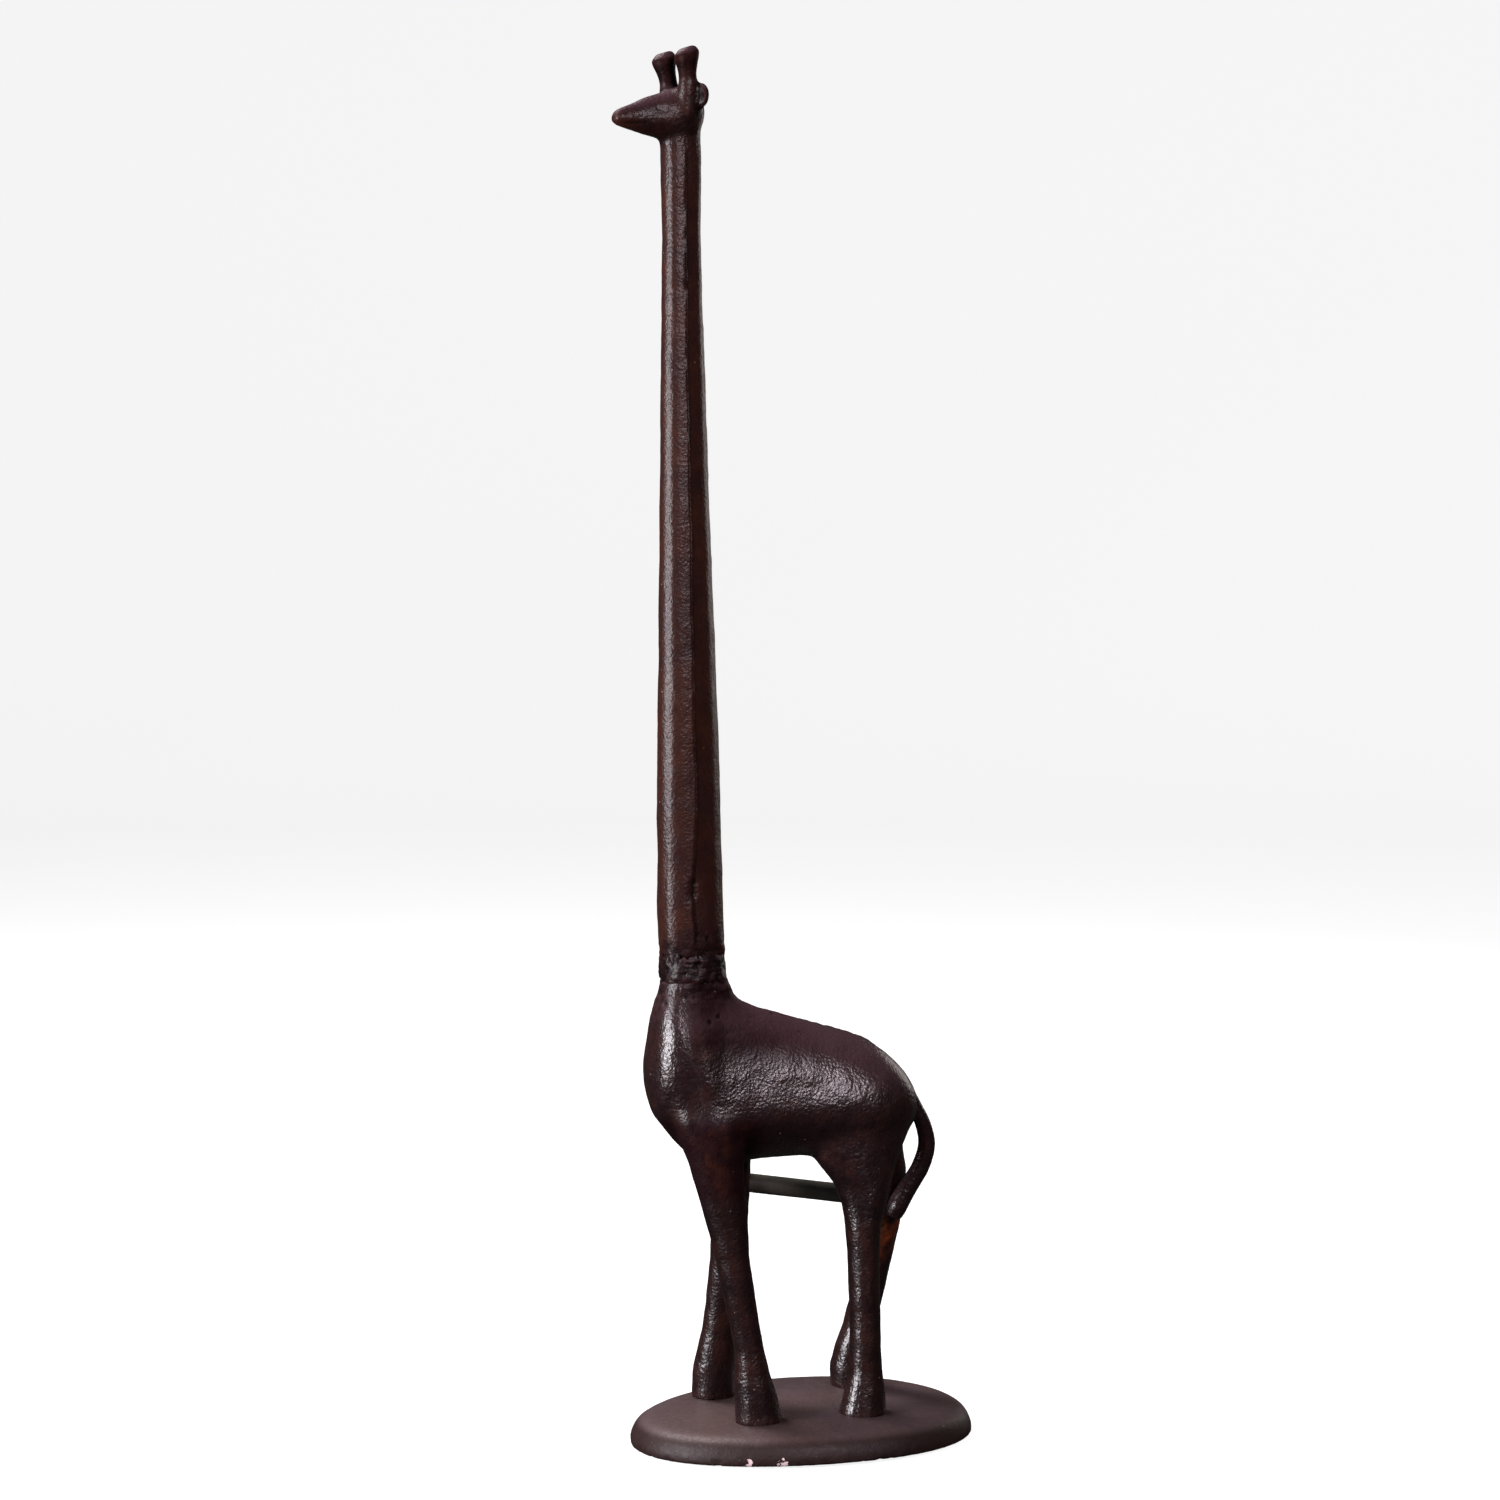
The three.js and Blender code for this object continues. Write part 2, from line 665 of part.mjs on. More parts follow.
// A leaf-shaped lobe behind the ossicone, scooped out on its front face.
function makeEar(side) {
  const { back, spread, z, halfThickness, halfSpan, halfHeight } = EAR;
  const lobe = new THREE.SphereGeometry(1, 14, 10);
  lobe.scale(halfThickness, halfSpan, halfHeight);
  lobe.translate(back, side * spread, z);
  const scoop = new THREE.SphereGeometry(1, 12, 8);
  scoop.scale(halfThickness * 0.8, halfSpan * 0.62, halfHeight * 0.7);
  scoop.translate(back - halfThickness, side * (spread + halfSpan * 0.55), z - 0.4);
  return placeOnNeck(lobe).subtract(placeOnNeck(scoop));
}

function makeNeckAndHead() {
  const casting = join(
    neckLoft([
      [NECK_JOINT_Z + GAP, -WELD.bevel],
      ...evenRings(NECK_JOINT_Z + WELD.halfHeight, NECK[NECK.length - 1][0], RINGS.neck),
    ]),
    makeSkull(),
    makeOssicone(-1),
    makeOssicone(1),
    makeEar(-1),
    makeEar(1),
  );
  const { x, radius, top } = NECK_PIN;
  return casting.subtract(upright(x, 0, radius + GAP, NECK_JOINT_Z - BEYOND, top + GAP));
}

// ---- finishes ----

const FINISHES = {
  enamel: { color: 0x3d2b29, roughness: 0.42, metalness: 0.35 },
  base_enamel: { color: 0x4b3a3a, roughness: 0.55, metalness: 0.25 },
  bar_steel: { color: 0x2e2b27, roughness: 0.45, metalness: 0.5 },
  zinc_steel: { color: 0x8f9296, roughness: 0.35, metalness: 0.9 },
  felt: { color: 0x1c1a1a, roughness: 0.95, metalness: 0 },
};

// ---- assembly ----

const figure = new THREE.Group();
figure.position.set(FIGURE_OFFSET_X, -BASE_MIDDLE_Y, 0);

function addPiece(name, solid, finish) {
  const mesh = new THREE.Mesh(toGeometry(solid), new THREE.MeshStandardMaterial(FINISHES[finish]));
  mesh.name = name;
  figure.add(mesh);
}

addPiece('base_plate', makeBasePlate(), 'base_enamel');
for (const [corner, x, y] of padPlaces()) {
  addPiece(`base_pad_${corner}`, upright(x, y, PAD.radius, 0, PAD.thickness, SIDES.pad), 'felt');
}
for (const [corner, hoof] of Object.entries(HOOVES)) {
  addPiece(`hoof_screw_${corner}`, makeHoofScrew(hoof), 'zinc_steel');
  addPiece(`hoof_washer_${corner}`, makeHoofWasher(hoof), 'zinc_steel');
}

const wholeBody = makeWholeBody();
addPiece('body_left_half', makeLeftHalf(wholeBody), 'enamel');
addPiece('body_right_half', makeRightHalf(wholeBody), 'enamel');
addPiece('closing_screw', makeClosingScrew(), 'zinc_steel');
addPiece('tail', makeTail(), 'enamel');
addPiece('leg_tie_bar', makeTieBar(), 'bar_steel');

addPiece('neck_and_head', makeNeckAndHead(), 'enamel');
addPiece('neck_weld_bead', makeWeldBead(), 'enamel');
const neckPin = upright(NECK_PIN.x, 0, NECK_PIN.radius, NECK_PIN.bottom, NECK_PIN.top);
addPiece('neck_pin', neckPin, 'zinc_steel');

const giraffeStand = new THREE.Group();
giraffeStand.add(figure);

export default giraffeStand;
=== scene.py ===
import math

import bmesh
import bpy
import numpy as np
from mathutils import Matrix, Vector


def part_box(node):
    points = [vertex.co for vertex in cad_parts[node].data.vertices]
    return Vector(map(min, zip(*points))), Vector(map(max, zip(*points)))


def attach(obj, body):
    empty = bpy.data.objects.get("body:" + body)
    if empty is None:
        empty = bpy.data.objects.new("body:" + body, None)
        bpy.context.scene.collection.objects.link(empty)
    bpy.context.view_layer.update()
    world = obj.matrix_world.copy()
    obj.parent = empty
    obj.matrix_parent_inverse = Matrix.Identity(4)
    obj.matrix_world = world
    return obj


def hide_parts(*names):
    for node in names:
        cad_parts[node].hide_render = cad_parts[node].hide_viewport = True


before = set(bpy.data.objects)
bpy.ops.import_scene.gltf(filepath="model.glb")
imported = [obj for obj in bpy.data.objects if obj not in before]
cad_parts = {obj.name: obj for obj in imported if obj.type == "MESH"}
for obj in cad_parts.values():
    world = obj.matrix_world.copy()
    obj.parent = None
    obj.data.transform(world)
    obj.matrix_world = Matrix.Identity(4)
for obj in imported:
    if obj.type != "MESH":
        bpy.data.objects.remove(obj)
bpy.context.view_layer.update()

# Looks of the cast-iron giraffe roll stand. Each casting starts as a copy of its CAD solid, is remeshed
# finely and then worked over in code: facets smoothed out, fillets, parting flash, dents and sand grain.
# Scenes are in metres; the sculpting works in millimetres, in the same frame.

MM = 0.001
BODY = "root"


# ---- places taken from the frame, in millimetres ----

def node_box(*nodes):
    """Lowest and highest corner of several CAD nodes together."""
    boxes = [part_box(node) for node in nodes]
    low = np.min([list(box[0]) for box in boxes], axis=0)
    high = np.max([list(box[1]) for box in boxes], axis=0)
    return low / MM, high / MM


def node_middle(*nodes):
    low, high = node_box(*nodes)
    return (low + high) / 2


HOOF_CORNERS = ("front_left", "front_right", "rear_left", "rear_right")
PIN = node_middle("neck_pin")
# the neck pin stands in the seam between the two halves of the body
SEAM_Y = PIN[1]
WELD_LOW, WELD_HIGH = node_box("neck_weld_bead")
NECK_LOW, NECK_HIGH = node_box("neck_and_head")
BASE_LOW, BASE_HIGH = node_box("base_plate")
BODY_LOW, BODY_HIGH = node_box("body_left_half", "body_right_half")
TAIL_LOW, TAIL_HIGH = node_box("tail")


# ---- repeatable noise ----

def hashed(cells, seed):
    """Three numbers in -1..1 for each whole-number cell, the same on every run."""
    mixed = np.uint64(seed * 2654435761 + 97531)
    with np.errstate(over="ignore"):
        for axis, prime in enumerate((73856093, 19349663, 83492791)):
            part = cells[:, axis].astype(np.int64).view(np.uint64) * np.uint64(prime)
            mixed = (mixed ^ part) * np.uint64(0x9E3779B97F4A7C15)
            mixed = mixed ^ (mixed >> np.uint64(29))
    parts = [(mixed >> np.uint64(shift)) & np.uint64(1023) for shift in (5, 21, 37)]
    return np.stack(parts, axis=1).astype(float) / 511.5 - 1


def noise(points, size, seed):
    """Smooth gradient noise of about -1..1 whose bumps are `size` across."""
    scaled = points / size
    cell = np.floor(scaled)
    inside = scaled - cell
    fade = inside ** 3 * (inside * (inside * 6 - 15) + 10)
    total = np.zeros(len(points))
    for corner in np.ndindex(2, 2, 2):
        gradient = hashed(cell + corner, seed)
        share = np.prod(np.where(corner, fade, 1 - fade), axis=1)
        total += share * np.sum(gradient * (inside - corner), axis=1)
    return total * 1.6


def rough_noise(points, size, seed, octaves=3):
    """Noise with finer and fainter layers over it."""
    return sum(noise(points, size / 2 ** k, seed + k) / 2 ** k for k in range(octaves))


def bell(value, middle, width):
    return np.exp(-(((value - middle) / width) ** 2))


def ramp(value, low, high):
    """0 below `low`, 1 above `high`, and a smooth step in between; `low` may be the larger one."""
    share = np.clip((value - low) / (high - low), 0, 1)
    return share * share * (3 - 2 * share)


# ---- meshes as arrays ----

class Clay:
    """A mesh's points in millimetres, for working in bulk."""

    def __init__(self, obj):
        self.mesh = obj.data
        count = len(self.mesh.vertices)
        flat = np.empty(count * 3, np.float32)
        self.mesh.vertices.foreach_get("co", flat)
        self.at = flat.reshape(-1, 3).astype(float) / MM
        ends = np.empty(len(self.mesh.edges) * 2, np.int32)
        self.mesh.edges.foreach_get("vertices", ends)
        self.edges = ends.reshape(-1, 2)
        self.mesh.calc_loop_triangles()
        corners = np.empty(len(self.mesh.loop_triangles) * 3, np.int32)
        self.mesh.loop_triangles.foreach_get("vertices", corners)
        self.triangles = corners.reshape(-1, 3)
        self.degree = np.bincount(self.edges.ravel(), minlength=count)[:, None]

    def neighbour_mean(self, values):
        """The mean of each point's neighbours."""
        first, second = self.edges[:, 0], self.edges[:, 1]
        columns = [
            np.bincount(first, column[second], len(values)) + np.bincount(second, column[first], len(values))
            for column in values.T
        ]
        return np.stack(columns, axis=1) / np.maximum(self.degree, 1)

    def normals(self):
        a, b, c = (self.at[self.triangles[:, k]] for k in range(3))
        face = np.cross(b - a, c - a)
        total = np.zeros_like(self.at)
        for k in range(3):
            for axis in range(3):
                total[:, axis] += np.bincount(self.triangles[:, k], face[:, axis], len(self.at))
        return total / np.maximum(np.linalg.norm(total, axis=1, keepdims=True), 1e-12)

    def smooth(self, rounds, mask=1.0):
        """Takes out facets and ripples but keeps the volume (a pull and a slightly stronger push)."""
        weight = np.broadcast_to(np.asarray(mask, float), (len(self.at),))[:, None]
        for _ in range(rounds):
            for share in (0.5, -0.53):
                self.at += share * weight * (self.neighbour_mean(self.at) - self.at)

    def soften(self, rounds, mask=1.0):
        """Plain smoothing, which also rounds broad facets and draws the skin in by a hair."""
        weight = np.broadcast_to(np.asarray(mask, float), (len(self.at),))[:, None]
        for _ in range(rounds):
            self.at += 0.5 * weight * (self.neighbour_mean(self.at) - self.at)

    def fill_creases(self, rounds, mask=1.0):
        """Fillets: only hollows move, and only outwards."""
        weight = np.broadcast_to(np.asarray(mask, float), (len(self.at),))[:, None]
        for turn in range(rounds):
            if turn % 6 == 0:
                normals = self.normals()
            pull = self.neighbour_mean(self.at) - self.at
            outward = np.sum(pull * normals, axis=1, keepdims=True) > 0
            self.at += 0.5 * weight * pull * outward

    def push(self, amount):
        """Moves each point along its normal by its own amount."""
        self.at += self.normals() * np.asarray(amount)[:, None]

    def hollowness(self, rounds=4):
        """How hollow (above 0) or proud (below 0) the surface is at each point."""
        bend = np.sum((self.neighbour_mean(self.at) - self.at) * self.normals(), axis=1)
        for _ in range(rounds):
            bend = 0.5 * bend + 0.5 * self.neighbour_mean(bend[:, None])[:, 0]
        return bend

    def done(self):
        self.mesh.vertices.foreach_set("co", (self.at * MM).astype(np.float32).ravel())
        self.mesh.update()

    def note(self, name, values):
        """Keeps a number for each point that a material can read."""
        layer = self.mesh.attributes.new(name, "FLOAT", "POINT")
        layer.data.foreach_set("value", np.asarray(values, np.float32))


def new_object(name, mesh):
    obj = bpy.data.objects.new(name, mesh)
    bpy.context.scene.collection.objects.link(obj)
    return obj


def from_bmesh(name, work):
    mesh = bpy.data.meshes.new(name)
    work.to_mesh(mesh)
    work.free()
    return new_object(name, mesh)


def solids_of(*nodes):
    """A bmesh with copies of CAD solids, closed along their edges."""
    work = bmesh.new()
    for node in nodes:
        work.from_mesh(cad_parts[node].data)
    bmesh.ops.remove_doubles(work, verts=work.verts, dist=1e-7)
    return work


def add_bar(work, start, end, radius, sides=24):
    """Adds a closed round bar between two places, in millimetres."""
    start, end = Vector(start) * MM, Vector(end) * MM
    turn = (end - start).to_track_quat("Z", "Y").to_matrix().to_4x4()
    made = bmesh.ops.create_cone(
        work, cap_ends=True, segments=sides, depth=(end - start).length,
        radius1=radius * MM, radius2=radius * MM,
    )
    turn.translation = (start + end) / 2
    bmesh.ops.transform(work, matrix=turn, verts=made["verts"])


def remeshed(obj, voxel):
    """Replaces an object's mesh by an even, closed skin of small quads."""
    modifier = obj.modifiers.new("voxels", "REMESH")
    modifier.mode = "VOXEL"
    modifier.voxel_size = voxel * MM
    modifier.adaptivity = 0
    graph = bpy.context.evaluated_depsgraph_get()
    mesh = bpy.data.meshes.new_from_object(obj.evaluated_get(graph))
    obj.modifiers.remove(modifier)
    obj.data = mesh
    keep_largest_island(mesh)
    return obj


def keep_largest_island(mesh):
    """Drops closed skins of inner hollows, which nothing outside can see."""
    work = bmesh.new()
    work.from_mesh(mesh)
    unseen = set(work.verts)
    islands = []
    while unseen:
        stack = [unseen.pop()]
        island = list(stack)
        while stack:
            for edge in stack.pop().link_edges:
                for vert in edge.verts:
                    if vert in unseen:
                        unseen.remove(vert)
                        stack.append(vert)
                        island.append(vert)
        islands.append(island)
    islands.sort(key=len)
    for island in islands[:-1]:
        bmesh.ops.delete(work, geom=island, context="VERTS")
    work.to_mesh(mesh)
    work.free()


def shade(obj, material, sharp_angle=50):
    obj.data.materials.clear()
    obj.data.materials.append(material)
    obj.data.shade_smooth()
    obj.data.set_sharp_from_angle(angle=math.radians(sharp_angle))


def mount(obj, material, node):
    """Finishes a piece: its material, its body, and the CAD node that it stands for."""
    shade(obj, material)
    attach(obj, BODY)
    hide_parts(node)


# ---- materials ----

class Look:
    """A material's nodes, with short calls for the ones used here."""

    def __init__(self, name):
        self.material = bpy.data.materials.new(name)
        self.material.use_nodes = True
        self.tree = self.material.node_tree
        self.shader = self.tree.nodes["Principled BSDF"]
        self.coords = self.tree.nodes.new("ShaderNodeTexCoord").outputs["Object"]

    def node(self, kind, inputs=(), **settings):
        made = self.tree.nodes.new(kind)
        for key, value in settings.items():
            setattr(made, key, value)
        for key, value in dict(inputs).items():
            if isinstance(value, bpy.types.NodeSocket):
                self.tree.links.new(value, made.inputs[key])
            else:
                made.inputs[key].default_value = value
        return made

    def noise(self, size_mm, detail=3.0, roughness=0.55, distortion=0.0):
        """Noise in 0..1 whose bumps are about `size_mm` across."""
        made = self.node("ShaderNodeTexNoise", {
            "Vector": self.coords, "Scale": 1 / (size_mm * MM), "Detail": detail,
            "Roughness": roughness, "Distortion": distortion,
        })
        return made.outputs["Fac"]

    def cells(self, size_mm):
        """Distance to the nearest of many scattered points, which are about `size_mm` apart."""
        made = self.node("ShaderNodeTexVoronoi", {"Vector": self.coords, "Scale": 1 / (size_mm * MM)})
        return made.outputs["Distance"]

    def streaks(self, scale, detail):
        """Noise drawn out along one axis; `scale` is how often it changes in each metre of x, y and z."""
        stretched = self.node("ShaderNodeMapping", {"Vector": self.coords, "Scale": scale})
        made = self.node("ShaderNodeTexNoise", {
            "Vector": stretched.outputs["Vector"], "Scale": 1.0, "Detail": detail,
        })
        return made.outputs["Fac"]

    def ramp(self, value, low, high, out_low=0.0, out_high=1.0):
        made = self.node("ShaderNodeMapRange", {
            "Value": value, "From Min": low, "From Max": high, "To Min": out_low, "To Max": out_high,
        })
        return made.outputs["Result"]

    def math(self, operation, first, second=0.0):
        made = self.node("ShaderNodeMath", {0: first, 1: second}, operation=operation)
        return made.outputs[0]

    def mix(self, share, first, second):
        made = self.node("ShaderNodeMix", data_type="RGBA")
        # the node holds one set of sockets for each data type, and the colour ones are picked by type
        for key, value in (("Factor_Float", share), ("A_Color", first), ("B_Color", second)):
            socket = next(s for s in made.inputs if s.identifier == key)
            if isinstance(value, bpy.types.NodeSocket):
                self.tree.links.new(value, socket)
            else:
                socket.default_value = value
        return next(s for s in made.outputs if s.identifier == "Result_Color")

    def cover(self, colour, mask, strength, over):
        """Lays the colour `over` on `colour` by the mask's value times `strength`."""
        return self.mix(self.math("MULTIPLY", mask, strength), colour, over)

    def noted(self, name):
        return self.node("ShaderNodeAttribute", attribute_name=name).outputs["Fac"]

    def bump(self, height, strength, distance_mm, under=None):
        inputs = {"Height": height, "Strength": strength, "Distance": distance_mm * MM}
        if under is not None:
            inputs["Normal"] = under
        return self.node("ShaderNodeBump", inputs).outputs["Normal"]

    def set(self, **sockets):
        """Sets the shader's own sockets; underscores in the names stand for spaces."""
        for key, value in sockets.items():
            socket = self.shader.inputs[key.replace("_", " ")]
            if isinstance(value, bpy.types.NodeSocket):
                self.tree.links.new(value, socket)
            else:
                socket.default_value = value
        return self.material


def rgb(red, green, blue):
    return (red, green, blue, 1.0)


def enamel_look():
    """Half-gloss enamel over sand-cast iron: purple-black on the body, browner where it is `warm`."""
    look = Look("enamel")
    warm = look.math("ADD", look.noted("warm"), look.ramp(look.noise(9, 4, 0.6), 0.25, 0.75, -0.5, 0.3))
    warm = look.ramp(warm, 0.0, 1.0)
    colour = look.mix(warm, rgb(0.0076, 0.0026, 0.0032), rgb(0.039, 0.0115, 0.0060))
    mottle = look.ramp(look.noise(3.2, 5, 0.65), 0.38, 0.7)
    colour = look.cover(colour, mottle, 0.38, rgb(0.022, 0.0090, 0.0085))
    cloud = look.ramp(look.noise(16, 3, 0.6), 0.42, 0.62)
    colour = look.cover(colour, cloud, 0.4, rgb(0.012, 0.0050, 0.0068))
    # rust, in random patches
    rust_and_warm_light = look.ramp(look.noise(7, 3, 0.6, 0.4), 0.60, 0.76)
    colour = look.cover(colour, rust_and_warm_light, 0.3, rgb(0.055, 0.014, 0.004))
    # painted top light: faces that look up are lightened to a purple-grey
    colour = look.cover(colour, look.noted("painted_top_light"), 0.85, rgb(0.052, 0.0270, 0.0320))
    # painted warm light: a bright orange glow where the rear leg's mark is set
    bloom = look.math("MULTIPLY", look.noted("rust_and_warm_light"), look.ramp(look.noise(4, 4, 0.6), 0.35, 0.6))
    colour = look.mix(bloom, colour, rgb(0.26, 0.052, 0.008))
    # painted shade: hollows, undersides and the added shade are darkened almost to black
    painted_shade = look.ramp(look.noted("painted_shade"), 0.0, 0.03)
    colour = look.cover(colour, painted_shade, 0.8, rgb(0.0030, 0.0011, 0.0011))
    specks = look.ramp(look.cells(6.5), 0.055, 0.035)
    colour = look.cover(colour, specks, 0.45, rgb(0.26, 0.19, 0.16))
    roughness = look.ramp(look.noise(1.6, 4, 0.6), 0.3, 0.7, 0.22, 0.33)
    roughness = look.math("ADD", roughness, look.ramp(look.noted("dull"), 0.0, 1.0, 0.0, 0.14))
    waves = look.bump(look.noise(2.4, 1, 0.5), 0.4, 0.12)
    peel = look.bump(look.noise(1.0, 0.5, 0.5), 0.9, 0.19, waves)
    grain = look.bump(look.noise(0.5, 0.5, 0.5), 0.7, 0.06, peel)
    gloss = look.ramp(look.noted("dull"), 0.0, 1.0, 0.5, 0.02)
    return look.set(
        Base_Color=colour, Roughness=roughness, Normal=grain,
        IOR=1.5, Specular_IOR_Level=gloss,
    )


def base_look():
    """The same enamel on the smoother base casting, with a few chips along its lower edge."""
    look = Look("base_enamel")
    patches = look.ramp(look.noise(28, 4), 0.35, 0.65)
    colour = look.mix(patches, rgb(0.058, 0.034, 0.031), rgb(0.054, 0.034, 0.038))
    mottle = look.ramp(look.noise(2.4, 4, 0.65), 0.4, 0.7)
    colour = look.cover(colour, mottle, 0.35, rgb(0.082, 0.055, 0.055))
    # painted shadows of the hooves, cast on the base's top
    painted_hoof_shadow = look.math("MULTIPLY", look.noted("painted_hoof_shadow"), look.ramp(look.noise(5, 4), 0.3, 0.7, 0.6, 1.0))
    colour = look.mix(painted_hoof_shadow, colour, rgb(0.020, 0.0095, 0.0090))
    # painted shade: the base's sides darker than its top
    side = look.ramp(look.noted("rim"), 0.0, 1.0)
    colour = look.mix(side, colour, rgb(0.019, 0.0090, 0.0085))
    specks = look.ramp(look.cells(4.4), 0.05, 0.03)
    colour = look.cover(colour, specks, 0.35, rgb(0.28, 0.22, 0.22))
    edge = look.math("ADD", look.noted("chip"), look.ramp(look.noise(1.5, 3), 0.2, 0.8, -0.6, 0.6))
    chipped = look.ramp(edge, 0.50, 0.58)
    colour = look.mix(chipped, colour, rgb(0.62, 0.47, 0.47))
    roughness = look.ramp(look.noise(2.0, 4, 0.6), 0.3, 0.7, 0.44, 0.60)
    peel = look.bump(look.noise(2.2, 1, 0.5), 0.6, 0.16)
    grain = look.bump(look.noise(0.9, 1, 0.5), 0.8, 0.10, peel)
    relief = look.bump(look.math("MULTIPLY", chipped, -1.0), 0.8, 0.3, grain)
    return look.set(
        Base_Color=colour, Roughness=roughness, Normal=relief,
        IOR=1.45, Specular_IOR_Level=0.26,
    )


def bar_look():
    """A drawn steel bar under thin grey-green lacquer, with faint lengthwise lines."""
    look = Look("bar_steel")
    lines = look.streaks((60, 2600, 2600), 3.0)
    patches = look.ramp(look.noise(9, 4), 0.35, 0.7)
    colour = look.mix(patches, rgb(0.030, 0.028, 0.023), rgb(0.048, 0.042, 0.034))
    colour = look.mix(look.ramp(lines, 0.5, 0.8, 0.0, 0.4), colour, rgb(0.08, 0.073, 0.065))
    roughness = look.ramp(lines, 0.3, 0.7, 0.48, 0.62)
    return look.set(
        Base_Color=colour, Roughness=roughness, Normal=look.bump(lines, 0.15, 0.05),
        Metallic=0.0, Specular_IOR_Level=0.2,
    )


def zinc_look():
    """Zinc-plated steel with turning marks and a dull bloom."""
    look = Look("zinc_steel")
    bloom = look.ramp(look.noise(2.5, 4), 0.35, 0.7)
    colour = look.mix(bloom, rgb(0.42, 0.43, 0.45), rgb(0.56, 0.55, 0.50))
    fine = look.noise(0.25, 2)
    roughness = look.ramp(bloom, 0.0, 1.0, 0.24, 0.42)
    return look.set(Base_Color=colour, Roughness=roughness, Normal=look.bump(fine, 0.2, 0.03), Metallic=1.0)


def felt_look():
    """Black pressed felt: matted fibres and lint."""
    look = Look("felt")
    fibres = look.streaks((900, 4200, 2600), 4.0)
    colour = look.mix(look.ramp(fibres, 0.4, 0.75), rgb(0.009, 0.009, 0.010), rgb(0.045, 0.043, 0.043))
    tufts = look.bump(look.noise(0.5, 4, 0.7), 0.8, 0.2)
    return look.set(
        Base_Color=colour, Roughness=0.96, Normal=look.bump(fibres, 0.7, 0.12, tufts), Sheen_Weight=0.5,
    )


def floor_look():
    """Plain pale sweep."""
    look = Look("sweep")
    return look.set(
        Base_Color=rgb(0.35, 0.35, 0.35), Roughness=1.0, Specular_IOR_Level=0.0,
        Emission_Color=rgb(1.0, 1.0, 1.0), Emission_Strength=0.86,
    )


ENAMEL = enamel_look()
BASE_ENAMEL = base_look()
BAR_STEEL = bar_look()
ZINC_STEEL = zinc_look()
FELT = felt_look()


# ---- surface shared by the castings ----

def cast_surface(clay, seed, strength=1.0):
    """Unevenness of a sand mould, from broad waviness down to coarse grain, along the normals."""
    at = clay.at
    waves = 0.22 * rough_noise(at, 17, seed, 2) + 0.12 * noise(at, 6, seed + 10)
    grain = 0.045 * noise(at, 2.6, seed + 20) + 0.035 * noise(at, 1.5, seed + 30)
    clay.push(strength * (waves + grain))


def note_looks(clay, warm, dull=0.0, rust_and_warm_light=0.0, added_shade=0.0):
    """What the enamel's material reads at each point: painted shade, how brown and matt it is, painted
    warm light, and painted top light.

    Hollows, undersides and `added_shade` get painted shade, and faces that look up get painted top light.
    """
    # painted shade on faces that look down
    underside = 0.024 * ramp(-clay.normals()[:, 2], 0.02, 0.4)
    clay.note("painted_shade", clay.hollowness() + underside + added_shade)
    # painted top light on faces that look up
    painted_top_light = ramp(clay.normals()[:, 2], 0.12, 0.7)
    for name, values in (("warm", warm), ("dull", dull), ("rust_and_warm_light", rust_and_warm_light), ("painted_top_light", painted_top_light)):
        clay.note(name, np.broadcast_to(values, len(clay.at)))


# ---- body ----

BODY_VOXEL = 0.75
# half the gap that is left between the two halves
SEAM_SLIT = 0.05
# plugs that fill the neck pin's hole, where nothing outside can see it
PIN_PLUG_RADIUS = 5

# heights over the table: where the legs stand free and where they are lost in the belly, the middles
# of the muscles, the stretch in which the flank narrows, and the painted warm light on the right rear leg
LEG_FREE, LEG_TOP = 84, 104
SHOULDER_Z, HAUNCH_Z = 134, 121
FLANK_LOW, FLANK_HIGH = 122, 152
LEG_WARM_LIGHT_Z = 70


def body_solid():
    """The two halves drawn tight at the seam, with the neck pin's hole plugged."""
    work = solids_of("body_left_half", "body_right_half")
    for vert in work.verts:
        off_seam = vert.co.y / MM - SEAM_Y
        if abs(off_seam) < 0.2:
            vert.co.y -= 0.4 * MM * (1 if off_seam > 0 else -1)
    add_bar(work, (PIN[0], PIN[1], PIN[2] - 24), (PIN[0], PIN[1], WELD_LOW[2] + 4.4), PIN_PLUG_RADIUS)
    return from_bmesh("body", work)


def seam_flash(clay, low_z):
    """The rough fin left along the seam, strongest on the back and rump."""
    at, normals = clay.at, clay.normals()
    off = at[:, 1] - SEAM_Y
    upward = ramp(normals[:, 2], -0.3, 0.35) * ramp(at[:, 2], low_z, low_z + 6)
    rearward = ramp(at[:, 0], BODY_LOW[0] + 22, BODY_LOW[0] + 34)
    present = 0.25 + 0.75 * upward * rearward
    wander = 0.5 * noise(at * (1, 0, 1), 9, 40)
    fin = bell(off + wander, 0, 1.1) * (0.12 + 0.22 * np.abs(rough_noise(at, 6, 41)))
    torn = bell(off, 0, 3.2) * rough_noise(at, 2.6, 44) * 0.14
    dent = -0.3 * bell(off, 0, 2.2) * ramp(noise(at, 5.5, 46), 0.15, 0.6)
    clay.push(present * (fin + torn + dent))


